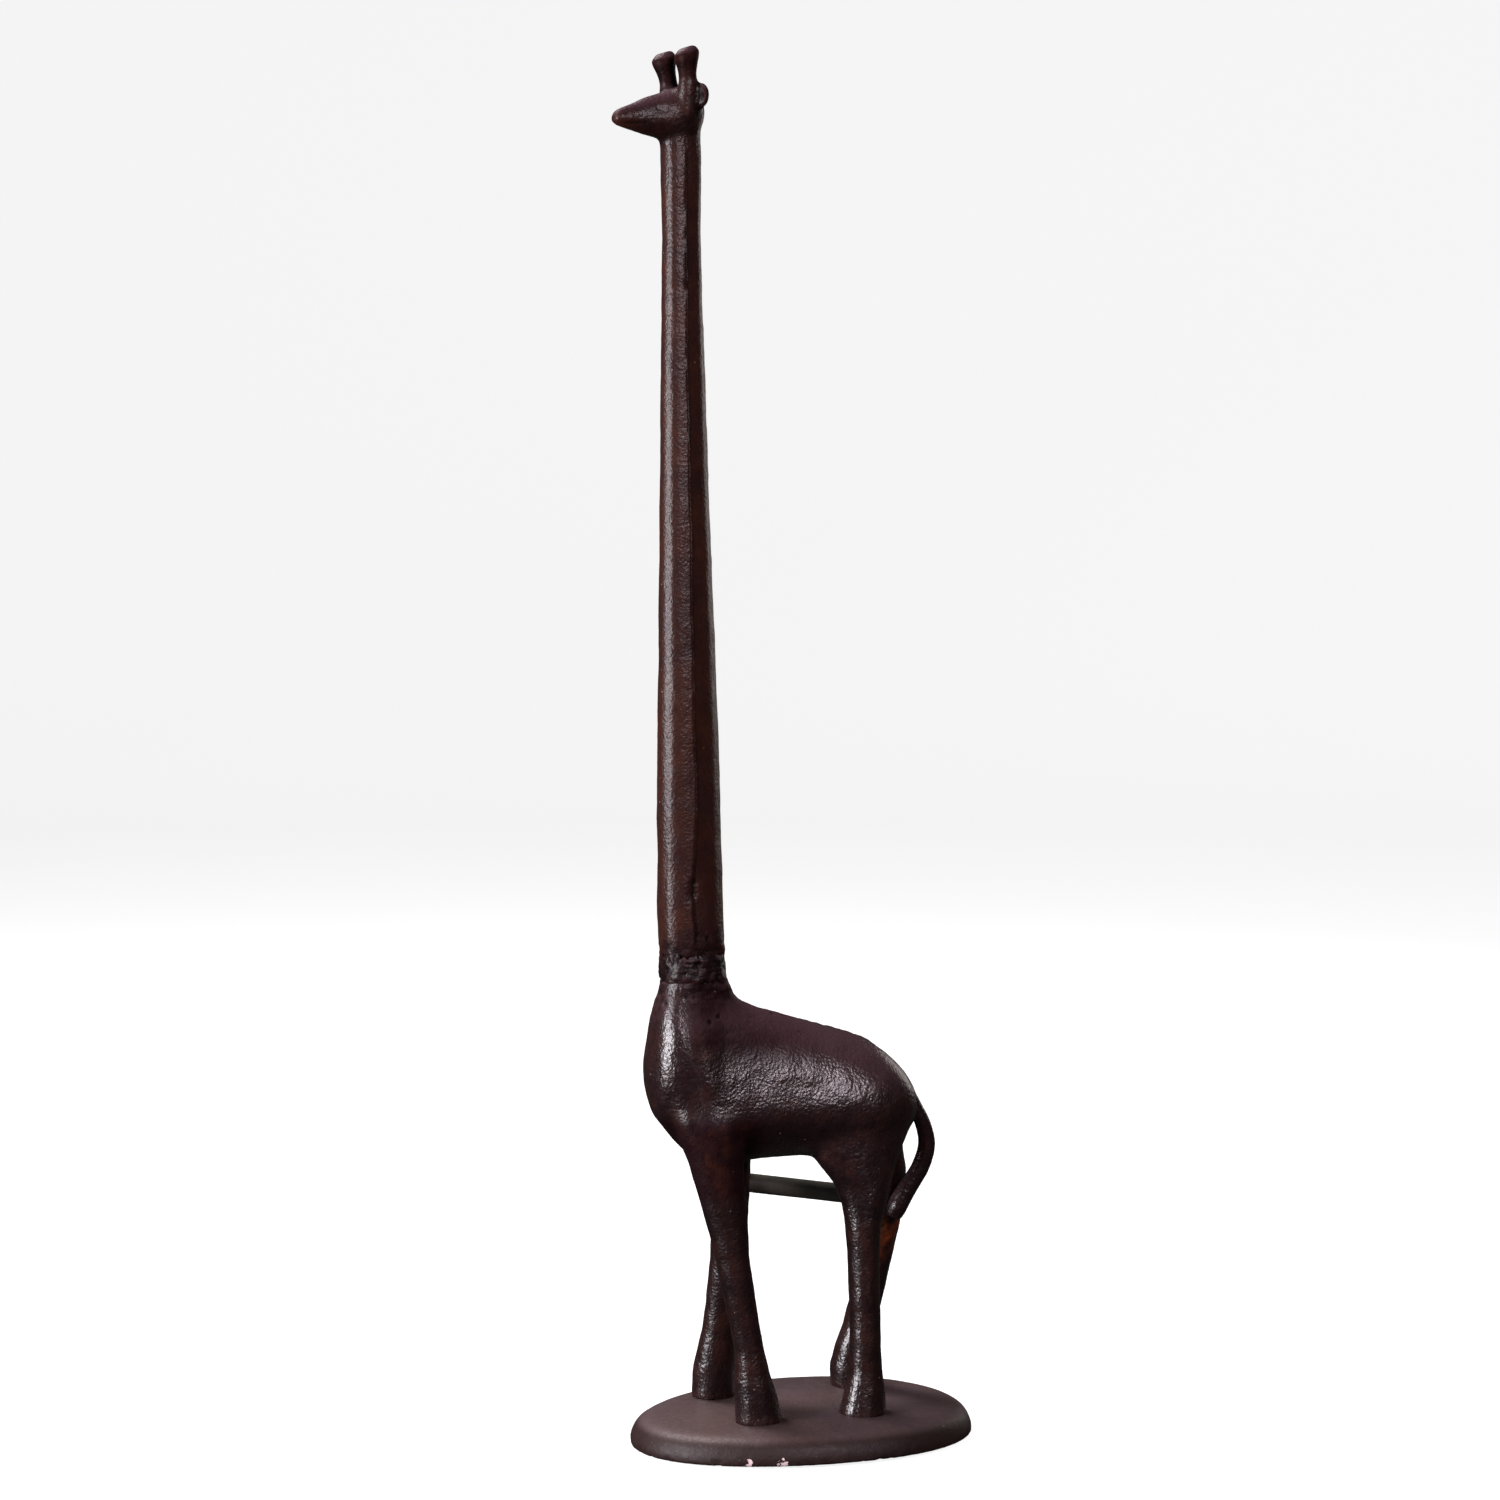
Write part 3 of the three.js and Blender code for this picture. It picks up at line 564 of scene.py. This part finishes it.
def chest_and_haunch(clay):
    """The valley behind the chest, the swell of shoulder and haunch, and the flank that narrows upwards."""
    at, normals = clay.at, clay.normals()
    side = ramp(np.abs(at[:, 1] - SEAM_Y), 7, 12)
    chest_x, neck_x = BODY_LOW[0] + 14.5, BODY_LOW[0] + 11.5
    lean = np.interp(at[:, 2], [118, 162], [chest_x, neck_x])
    valley = bell(at[:, 0], lean, 3.4) * side * ramp(at[:, 2], 112, 124) * ramp(at[:, 2], 168, 152)
    shoulder = bell(at[:, 0], lean + 11, 9) * side * bell(at[:, 2], SHOULDER_Z, 13)
    haunch = bell(at[:, 0], BODY_HIGH[0] - 25, 13) * side * bell(at[:, 2], HAUNCH_Z, 12)
    outward = ramp(np.abs(normals[:, 1]), 0.3, 0.8)
    clay.push(outward * (0.7 * shoulder + 0.6 * haunch) - 0.9 * valley)
    along = ramp(at[:, 0], BODY_LOW[0] + 12, BODY_LOW[0] + 26)
    along *= ramp(at[:, 0], BODY_HIGH[0] - 4, BODY_HIGH[0] - 18)
    forward = ramp(at[:, 0], BODY_HIGH[0] - 25, BODY_LOW[0] + 22)
    narrowing = 0.17 * ramp(at[:, 2] + 9 * forward, FLANK_LOW, FLANK_HIGH)
    squeeze = 0.06 * bell(at[:, 2], 116, 9) - narrowing
    at[:, 1] += (at[:, 1] - SEAM_Y) * squeeze * along


def tail_dimple(clay):
    """The small dent where the tail leaves the rump."""
    place = np.array([BODY_HIGH[0] - 1.5, SEAM_Y, TAIL_HIGH[2] + 2.2])
    far = np.linalg.norm(clay.at - place, axis=1)
    clay.push(-0.9 * bell(far, 0, 4.5))


def half_of(obj, name, side):
    """A closed half of the body; `side` is -1 for the animal's left."""
    work = bmesh.new()
    work.from_mesh(obj.data)
    geometry = work.verts[:] + work.edges[:] + work.faces[:]
    place = Vector((0, (SEAM_Y + side * SEAM_SLIT) * MM, 0))
    cut = bmesh.ops.bisect_plane(
        work, geom=geometry, dist=1e-8, plane_co=place, plane_no=(0, -side, 0), clear_outer=True,
    )
    rim = [item for item in cut["geom_cut"] if isinstance(item, bmesh.types.BMEdge)]
    bmesh.ops.triangle_fill(work, edges=rim, use_beauty=True)
    bmesh.ops.recalc_face_normals(work, faces=work.faces)
    return from_bmesh(name, work)


def matt_places(clay):
    """Where the enamel has lost its gloss: below the neck's foot, low on the chest, and on the legs."""
    from_chest, height = clay.at[:, 0] - BODY_LOW[0], clay.at[:, 2]
    shoulder = ramp(height, SHOULDER_Z, 147) * ramp(from_chest, 9, 15) * ramp(from_chest, 75, 50)
    chest = ramp(height, 124, 117) * ramp(from_chest, 46, 33) * ramp(height, 80, 95)
    neck_foot = 0.45 * ramp(height, 150, 160) * ramp(from_chest, 16, 9)
    legs = 0.35 * ramp(height, LEG_TOP, LEG_FREE) * ramp(height, 14, 32) * ramp(from_chest, 70, 50)
    return np.max([shoulder, chest, neck_foot, legs], axis=0)


def rear_leg_warm_light(clay):
    """Painted warm light: the orange glow on the inner face of the right rear leg, under the tail."""
    at = clay.at
    leg = ramp(at[:, 1] - SEAM_Y, 2, 5) * ramp(at[:, 0], BODY_HIGH[0] - 34, BODY_HIGH[0] - 26)
    return 0.9 * leg * bell(at[:, 2], LEG_WARM_LIGHT_Z, 8) * ramp(-clay.normals()[:, 1], -0.2, 0.3)


def settle_hooves(clay):
    """Swells the front legs a little above their hooves, and lets all four hooves down onto the base."""
    at = clay.at
    front = ramp(at[:, 0], BODY_LOW[0] + 44, BODY_LOW[0] + 36)
    clay.push(0.5 * front * bell(at[:, 2], BASE_HIGH[2] + 14, 9))
    clay.at[:, 2] -= 0.45 * ramp(clay.at[:, 2], BASE_HIGH[2] + 2.5, BASE_HIGH[2] + 0.6)


def make_body():
    """Both halves are worked over as one piece, so that they match along the seam, and then cut apart."""
    whole = remeshed(body_solid(), BODY_VOXEL)
    clay = Clay(whole)
    hoof_rim = ramp(clay.at[:, 2], BASE_HIGH[2] + 1.5, BASE_HIGH[2] + 5)
    neck_rim = ramp(clay.at[:, 2], WELD_LOW[2] + 1, WELD_LOW[2] - 3)
    free = hoof_rim * neck_rim
    clay.smooth(45, 0.15 + 0.85 * free)
    clay.fill_creases(70, free)
    clay.smooth(25, 0.15 + 0.85 * free)
    clay.soften(50, neck_rim * ramp(clay.at[:, 2], 88, 108))
    chest_and_haunch(clay)
    clay.smooth(10, free)
    tail_dimple(clay)
    weld_spatter(clay, 20)
    cast_surface(clay, 100)
    seam_flash(clay, BASE_HIGH[2] + 70)
    settle_hooves(clay)
    legs = ramp(clay.at[:, 2], LEG_TOP, LEG_FREE)
    brown = ramp(clay.at[:, 2], 100, 60)
    # the last argument is painted shade on the legs; the one before it is painted warm light
    note_looks(clay, 0.15 + 0.2 * brown, matt_places(clay), rear_leg_warm_light(clay), 0.027 * legs)
    clay.done()
    for word, side in (("left", -1), ("right", 1)):
        half = half_of(whole, "cast_body_" + word, side)
        mount(half, ENAMEL, "body_" + word + "_half")
    bpy.data.objects.remove(whole)


# ---- neck and head ----

NECK_VOXEL = 0.6
HEAD_TWIST = math.radians(12)
# where the parting line runs along the neck's sides: -1 is the throat, 1 the nape
NECK_WIDEST = -0.17
# the neck's half width at a few heights, as in the CAD
NECK_HEIGHTS = (182, 260, 344, 420)
NECK_HALF_WIDTHS = (8.8, 7.9, 6.3, 5.3)
EAR_Z = NECK_HIGH[2] - 17.4


def neck_twist(height):
    """How far the neck's section is turned at each height, in radians."""
    return HEAD_TWIST * ramp(height, WELD_HIGH[2], WELD_HIGH[2] + 70)


def neck_axis(clay):
    """Each point's place in the neck's section: -1 to 1 from throat to nape, and from left to right."""
    at = clay.at
    heights = np.linspace(WELD_HIGH[2] + 3, NECK_HIGH[2] - 36, 24)
    middles, halves = [], []
    for height in heights:
        ring = at[np.abs(at[:, 2] - height) < 1.2]
        middles.append((ring[:, :2].min(0) + ring[:, :2].max(0)) / 2)
        halves.append((ring[:, :2].max(0) - ring[:, :2].min(0)) / 2)
    middles, halves = np.array(middles), np.array(halves)
    middle = np.stack([np.interp(at[:, 2], heights, middles[:, k]) for k in range(2)], axis=1)
    half_length, half_width = (np.interp(at[:, 2], heights, halves[:, k]) for k in range(2))
    twist = neck_twist(at[:, 2])
    offset = at[:, :2] - middle
    along = offset[:, 0] * np.cos(twist) + offset[:, 1] * np.sin(twist)
    across = offset[:, 1] * np.cos(twist) - offset[:, 0] * np.sin(twist)
    return along / half_length, across / half_width


def oval(share, roundness):
    """The half width of a superellipse at a share of its half length."""
    return (1 - np.clip(np.abs(share), 0, 0.95) ** roundness) ** (1 / roundness)


def neck_section(clay):
    """Moves the widest place of the neck forward: a rounder front, and one long bevel to the nape."""
    at = clay.at
    along, across = neck_axis(clay)
    on_neck = ramp(at[:, 2], WELD_HIGH[2] + 2, WELD_HIGH[2] + 40)
    on_neck *= ramp(at[:, 2], NECK_HIGH[2] - 34, NECK_HIGH[2] - 60)
    front = oval(along, 2.15) / oval(along, 2.6)
    old_rear = np.where(along < 0, oval(along, 2.6), oval(along, 1.5))
    rear = oval((along - NECK_WIDEST) / (1 - NECK_WIDEST), 1.42) / old_rear
    change = np.where(along < NECK_WIDEST, front, rear * oval(NECK_WIDEST, 2.15)) - 1
    twist = neck_twist(at[:, 2])
    shift = across * change * on_neck * np.interp(at[:, 2], NECK_HEIGHTS, NECK_HALF_WIDTHS)
    at[:, 0] -= np.sin(twist) * shift
    at[:, 1] += np.cos(twist) * shift


def neck_flash(clay):
    """The parting line down both sides of the neck: a step, a thin fin, and nicks where that broke off."""
    at = clay.at
    along, across = neck_axis(clay)
    on_neck = ramp(at[:, 2], WELD_HIGH[2] + 1, WELD_HIGH[2] + 8)
    on_neck *= ramp(at[:, 2], NECK_HIGH[2] - 34, NECK_HIGH[2] - 42)
    side = ramp(np.abs(across), 0.4, 0.65)
    wander = 0.7 * noise(at * (0, 0, 1), 31, 60) + 0.3 * noise(at * (0, 0, 1), 7, 61)
    behind = (along - NECK_WIDEST) * 10.5 + wander
    step = 0.2 - 0.5 * ramp(behind, -0.35, 0.55) * ramp(behind, 9, 3)
    fin = 0.34 * bell(behind, -0.35, 0.6) * (0.5 + 0.7 * noise(at * (0.2, 0.2, 1), 9, 62))
    nick = -0.7 * bell(behind, 0.1, 1.3) * ramp(noise(at * (0.3, 0.3, 1), 9, 63), 0.45, 0.75)
    clay.push(on_neck * side * (step + fin + nick))


def head_features(clay):
    """Eye hollows, the mouth's crease and the nostrils."""
    at, normals = clay.at, clay.normals()
    forward = np.array([-math.cos(HEAD_TWIST), -math.sin(HEAD_TWIST)])
    tip = at[np.argmin(at[:, 0] * math.cos(HEAD_TWIST) + at[:, 1] * math.sin(HEAD_TWIST))]
    behind = -((at[:, :2] - tip[:2]) @ forward)
    across = np.abs((at[:, :2] - tip[:2]) @ np.array([forward[1], -forward[0]]))
    sideways = ramp(across, 1.5, 3.5)
    eye = np.hypot((behind - 16.5) / 3.1, (at[:, 2] - tip[2] - 3.2) / 1.9)
    lid = np.hypot((behind - 16.5) / 3.9, (at[:, 2] - tip[2] - 3.2) / 2.7)
    mouth = bell(at[:, 2], tip[2] - 1.6 + 0.02 * behind, 0.5) * ramp(behind, 13, 9) * ramp(across, 0.2, 1)
    nostril = np.hypot(behind - 3.4, at[:, 2] - tip[2] - 2.1) / 1.0
    clay.push(
        sideways * (0.2 * bell(lid, 0, 1) - 0.5 * bell(eye, 0, 0.8))
        - 0.22 * mouth - 0.4 * bell(nostril, 0, 1) * ramp(np.abs(normals[:, 2]), 0.9, 0.3)
    )


def lean_ossicones(clay):
    """The two horns lean forward a little, the right one more than the left."""
    at = clay.at
    right = ramp(at[:, 1] - at[at[:, 2] > NECK_HIGH[2] - 10][:, 1].mean(), -1.5, 1.5)
    at[:, 0] -= (0.7 + 0.9 * right) * ramp(at[:, 2], NECK_HIGH[2] - 14, NECK_HIGH[2] - 3)


def ear_shade(clay):
    """Where the ears get painted shade and a matt finish: their inside and back."""
    at = clay.at
    level = bell(at[:, 2], EAR_Z, 5)
    rearmost = at[np.abs(at[:, 2] - EAR_Z) < 1.5][:, 0].max()
    return level * ramp(at[:, 0], rearmost - 6, rearmost - 3.5)


def make_neck_and_head():
    work = solids_of("neck_and_head")
    low = NECK_LOW[2]
    add_bar(work, (PIN[0], PIN[1], low + 0.6), (PIN[0], PIN[1], low + 24), PIN_PLUG_RADIUS)
    obj = remeshed(from_bmesh("cast_neck_and_head", work), NECK_VOXEL)
    clay = Clay(obj)
    at = clay.at
    joint = ramp(at[:, 2], WELD_HIGH[2] - 1, WELD_HIGH[2] + 2)
    head = ramp(at[:, 2], NECK_HIGH[2] - 40, NECK_HIGH[2] - 30)
    clay.smooth(60, joint * (1 - 0.8 * head))
    clay.fill_creases(60, joint * head)
    clay.smooth(12, joint)
    neck_section(clay)
    on_neck = ramp(at[:, 2], WELD_HIGH[2] + 1, WELD_HIGH[2] + 6) * (1 - head)
    clay.soften(45, on_neck)
    clay.push(0.3 * on_neck)
    along, _ = neck_axis(clay)
    at[:, 0] += 0.4 * on_neck * ramp(along, 0.0, 0.9)
    clay.soften(5, head)
    neck_flash(clay)
    head_features(clay)
    lean_ossicones(clay)
    weld_spatter(clay, 13)
    clay.smooth(2)
    cast_surface(clay, 200, 0.8)
    horns = ramp(at[:, 2], NECK_HIGH[2] - 15, NECK_HIGH[2] - 11)
    top = head * ramp(clay.normals()[:, 2], 0.15, 0.5)
    ears = ear_shade(clay)
    dull = np.max([np.full(len(at), 0.6), horns, top, ears], axis=0)
    foot = ramp(at[:, 2] + 4 * noise(at, 7, 64), WELD_HIGH[2] + 14, WELD_HIGH[2] + 1)
    # painted shade on the head, the horns and the ears, and darker colour towards the weld
    added_shade = 0.004 * head + 0.012 * horns + 0.03 * ears + 0.014 * foot
    note_looks(clay, 0.8 - 0.3 * head - 0.4 * foot, dull, 0.0, added_shade)
    clay.done()
    mount(obj, ENAMEL, "neck_and_head")


def weld_spatter(clay, reach):
    """Lumps, grinding marks and pits of the repair round the weld, fading out over `reach`."""
    at = clay.at
    middle = (WELD_LOW[2] + WELD_HIGH[2]) / 2
    near = ramp(np.abs(at[:, 2] - middle), reach, 4)
    lumps = 0.48 * noise(at, 7.5, 73) + 0.32 * noise(at, 3.2, 74)
    marks = 0.16 * noise(at * (0.22, 0.22, 1.3), 1.5, 75)
    rear = np.array([PIN[0] + 9.6, PIN[1] - 2.6, WELD_HIGH[2] + 0.5])
    knob = 1.1 * bell(np.linalg.norm(at - rear, axis=1), 0, 3)
    pitted = ramp(np.abs(at[:, 2] - middle), 1.7 * reach, 6) * ramp(noise(at, 9, 81), -0.2, 0.3)
    pits = -0.5 * ramp(noise(at, 2.4, 80), 0.35, 0.7)
    clay.push(near * (lumps + marks) + pitted * pits + knob)


def make_weld():
    """The bead: overlapping ripples, ground back unevenly, its edges run out onto both castings."""
    obj = remeshed(from_bmesh("weld_bead", solids_of("neck_weld_bead")), 0.45)
    clay = Clay(obj)
    clay.smooth(12)
    at = clay.at
    middle, half = (WELD_LOW[2] + WELD_HIGH[2]) / 2, (WELD_HIGH[2] - WELD_LOW[2]) / 2
    offset = at[:, :2] - PIN[:2]
    radius = np.linalg.norm(offset, axis=1)
    outer = ramp(radius, 6.5, 8)
    lift = (at[:, 2] - middle) / half
    edge = outer * ramp(np.abs(lift), 0.62, 1.0)
    ragged = noise(at, 5, 76) + 0.4 * noise(at, 2, 77) + 0.7 * noise(at, 13, 79)
    at[:, 2] += np.sign(lift) * edge * (1.0 + 2.2 * ragged)
    at[:, :2] += (offset / radius[:, None]) * (-edge * (0.35 + 0.2 * ragged) - 0.4 * outer)[:, None]
    turn = np.arctan2(offset[:, 1], offset[:, 0])
    ripple = np.abs(np.sin(turn * 11 + 2.6 * lift + 1.4 * noise(at, 8, 70)))
    left_high = ramp(noise(at, 8, 71), -0.1, 0.6)
    clay.push(outer * (1 - edge) * 0.3 * ripple * left_high)
    weld_spatter(clay, 12)
    # the last number darkens the bead through the painted shade, more in some patches
    note_looks(clay, 0.35, 0.7, 0.0, 0.012 + 0.02 * ramp(noise(at, 6, 78), -0.5, 0.2))
    clay.done()
    mount(obj, ENAMEL, "neck_weld_bead")


# ---- tail and tie bar ----

def round_tip(clay, reach):
    """Draws the lower end of the tail in to a blunt point, over the last `reach` millimetres."""
    at = clay.at
    in_end = at[:, 2] < TAIL_LOW[2] + 11
    end = at[in_end]
    middle = end.mean(axis=0)
    axis = np.linalg.svd(end - middle, full_matrices=False)[2][0]
    axis = axis * np.sign(axis[2])
    along = (at - middle) @ axis
    near = ramp(at[:, 2], TAIL_LOW[2] + 22, TAIL_LOW[2] + 14)
    left = np.clip((along - along[in_end].min()) / reach, 0, 1)
    width = np.sqrt(np.clip(1 - (1 - left) ** 2, 0.02, 1))
    centre = middle + along[:, None] * axis
    at += (centre - at) * ((1 - width) * near)[:, None]


# the middle of the tail's end, at two heights
TUFT_HEIGHTS = (76, 86)
TUFT_MIDDLES_Y = (6.4, 5.3)


def make_tail():
    obj = remeshed(from_bmesh("cast_tail", solids_of("tail")), 0.42)
    clay = Clay(obj)
    at = clay.at
    tuft = ramp(at[:, 2], TAIL_LOW[2] + 5, TAIL_LOW[2] + 2)
    clay.smooth(30, 1 - 0.8 * tuft)
    round_tip(clay, 7)
    clay.soften(4, tuft)
    strands = ramp(at[:, 2], TAIL_LOW[2] + 15, TAIL_LOW[2] + 7)
    around = np.arctan2(at[:, 1] - np.interp(at[:, 2], TUFT_HEIGHTS, TUFT_MIDDLES_Y), at[:, 0])
    hair = np.stack([around * 9, at[:, 2] * 0.25, 0 * around], axis=1)
    clay.push(0.1 * strands * noise(hair, 1.0, 80))
    cast_surface(clay, 300, 0.7)
    note_looks(clay, 0.15)
    clay.done()
    mount(obj, ENAMEL, "tail")


def make_tie_bar():
    obj = remeshed(from_bmesh("steel_tie_bar", solids_of("leg_tie_bar")), 0.5)
    clay = Clay(obj)
    clay.smooth(25)
    clay.push(0.05 * rough_noise(clay.at, 9, 90))
    clay.done()
    mount(obj, BAR_STEEL, "leg_tie_bar")


# ---- base ----

BASE_VOXEL = 0.8
# about the base's length over its width
BASE_OVAL = 1.39
# where the enamel is chipped off the lower edge: x, y and reach
CHIPS = ((-28.6, -38.6, 1.4), (-20.8, -41.4, 1.0), (-17.2, -42.2, 1.8))


def hoof_shadows(at):
    """Painted shadow beside each hoof, on the side of the tail and of the animal's left."""
    hooves = [node_middle("hoof_screw_" + corner) for corner in HOOF_CORNERS]
    far = [np.hypot((at[:, 0] - hoof[0] - 4) / 1.5, at[:, 1] - hoof[1] + 4) for hoof in hooves]
    return sum(bell(distance, 0, 7.5) for distance in far)


def make_base():
    obj = remeshed(from_bmesh("cast_base", solids_of("base_plate")), BASE_VOXEL)
    clay = Clay(obj)
    at = clay.at
    under = ramp(at[:, 2], BASE_LOW[2] + 1.2, BASE_LOW[2] + 2.4)
    clay.smooth(30, 0.1 + 0.9 * under)
    clay.soften(110, ramp(at[:, 2], BASE_LOW[2] + 2.2, BASE_LOW[2] + 6))
    uneven = 0.2 * rough_noise(at, 30, 400, 2) + 0.05 * noise(at, 6, 401) + 0.04 * noise(at, 3.5, 402)
    clay.push(under * uneven)
    half_length = (BASE_HIGH[0] - BASE_LOW[0]) / 2
    from_middle = (at[:, 0] - (BASE_HIGH[0] + BASE_LOW[0]) / 2) / half_length
    at[:, 2] = np.maximum(at[:, 2] + 0.3 - 1.3 * from_middle ** 2, 0.05)
    low_edge = ramp(at[:, 2], BASE_LOW[2] + 3.2, BASE_LOW[2] + 0.6)
    outer = ramp(np.hypot(at[:, 0] - BASE_LOW[0] * 0.02, at[:, 1] * BASE_OVAL), 52, 57)
    nibble = ramp(noise(at, 4.2, 403), 0.25, 0.7)
    clay.push(-0.45 * low_edge * nibble * outer)
    chip = sum(bell(np.hypot(at[:, 0] - x, at[:, 1] - y), 0, reach) for x, y, reach in CHIPS)
    clay.note("chip", 1.25 * chip * ramp(at[:, 2], BASE_LOW[2] + 4.4, BASE_LOW[2] + 0.8))
    # painted shadows of the hooves
    clay.note("painted_hoof_shadow", np.minimum(hoof_shadows(at), 1))
    # how far each face turns from the top, for the painted shade on the sides
    clay.note("rim", ramp(clay.normals()[:, 2], 0.998, 0.55))
    clay.done()
    mount(obj, BASE_ENAMEL, "base_plate")


def dress_small_parts():
    """Fasteners and pads keep their CAD shapes and get their materials."""
    for node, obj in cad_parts.items():
        if node.startswith(("hoof_screw", "hoof_washer", "closing_screw", "neck_pin")):
            shade(obj, ZINC_STEEL, 30)
        if node.startswith("base_pad"):
            shade(obj, FELT, 30)


# ---- studio ----

ROOM_LIGHT = 0.03
# the height that every lamp looks at, in metres
LAMP_AIM = 0.2

# degrees for azimuth and pitch, metres for the rest, millimetres for the lens
VIEW = {"azimuth": -18, "height": 0.320, "distance": 1.141, "pitch": -3.59, "aside": -0.018, "lens": 76.56}


def around(azimuth, distance, height=0.0):
    """A place round the stand; azimuth 0 is in front of its left side (-Y), -90 in front of its muzzle."""
    turn = math.radians(azimuth)
    middle = node_middle("base_plate") * MM
    return Vector((middle[0] + math.sin(turn) * distance, SEAM_Y * MM - math.cos(turn) * distance, height))


def make_camera():
    data = bpy.data.cameras.new("camera")
    data.lens = VIEW["lens"]
    data.sensor_width = 36
    camera = new_object("camera", data)
    turn = math.radians(VIEW["azimuth"])
    aside = Vector((math.cos(turn), math.sin(turn), 0)) * VIEW["aside"]
    camera.location = around(VIEW["azimuth"], VIEW["distance"], VIEW["height"]) + aside
    camera.rotation_euler = (math.radians(90 + VIEW["pitch"]), 0, turn)
    bpy.context.scene.camera = camera


def softbox(name, azimuth, elevation, distance, width, height, watts, colour):
    """A rectangular lamp that looks at the stand."""
    data = bpy.data.lights.new(name, "AREA")
    data.shape = "RECTANGLE"
    data.size, data.size_y = width, height
    data.energy = watts
    data.color = colour
    lamp = new_object(name, data)
    lift = math.radians(elevation)
    lamp.location = around(azimuth, distance * math.cos(lift), LAMP_AIM + distance * math.sin(lift))
    target = around(0, 0, LAMP_AIM)
    lamp.rotation_euler = (target - lamp.location).to_track_quat("-Z", "Z").to_euler()


def make_sweep():
    """A round floor whose rim turns up into a wall, all one colour."""
    flat, curl, wall, sides, steps = 2.6, 1.0, 2.6, 96, 10
    profile = [(0.001, 0.0), (0.5, 0.0), (1.4, 0.0), (flat, 0.0)]
    for step in range(1, steps + 1):
        turn = math.pi / 2 * step / steps
        profile.append((flat + curl * math.sin(turn), curl * (1 - math.cos(turn))))
    profile.append((flat + curl, wall))
    work = bmesh.new()
    turns = [k * math.tau / sides for k in range(sides)]
    rings = [
        [work.verts.new((r * math.cos(turn), r * math.sin(turn), z)) for turn in turns]
        for r, z in profile
    ]
    for low, high in zip(rings, rings[1:]):
        for k in range(sides):
            work.faces.new((low[k], low[(k + 1) % sides], high[(k + 1) % sides], high[k]))
    work.faces.new(rings[0])
    bmesh.ops.recalc_face_normals(work, faces=work.faces)
    obj = from_bmesh("sweep", work)
    obj.data.materials.append(floor_look())
    obj.data.shade_smooth()
    obj.visible_glossy = False
    obj.visible_diffuse = False


def make_world():
    """Bright to the camera, so that the background is pale; dim to the stand, as in a dark studio."""
    world = bpy.data.worlds.new("studio")
    bpy.context.scene.world = world
    world.use_nodes = True
    tree = world.node_tree
    background = tree.nodes["Background"]
    background.inputs["Color"].default_value = rgb(1.0, 1.0, 1.0)
    seen = tree.nodes.new("ShaderNodeLightPath").outputs["Is Camera Ray"]
    level = tree.nodes.new("ShaderNodeMapRange")
    level.inputs["To Min"].default_value = ROOM_LIGHT
    level.inputs["To Max"].default_value = 1.0
    tree.links.new(seen, level.inputs["Value"])
    tree.links.new(level.outputs["Result"], background.inputs["Strength"])


def make_light():
    make_world()
    softbox("left_low", -76, 4.5, 1.1, 0.5, 0.5, 20, (0.98, 0.95, 1.0))
    softbox("left_high", -78, 22, 1.1, 0.34, 0.6, 5, (0.98, 0.95, 1.0))
    softbox("front_box", 6, 25, 1.3, 0.5, 0.36, 11, (1.0, 0.87, 0.94))
    softbox("rear_fill", 120, 12, 1.4, 0.6, 0.8, 2.6, (1.0, 0.93, 0.88))
    softbox("top_box", -150, 57, 1.3, 0.45, 0.4, 23, (1.0, 0.96, 0.96))
    bpy.context.scene.view_settings.view_transform = "Standard"


make_camera()
make_sweep()
make_light()
make_base()
make_body()
make_neck_and_head()
make_weld()
make_tail()
make_tie_bar()
dress_small_parts()
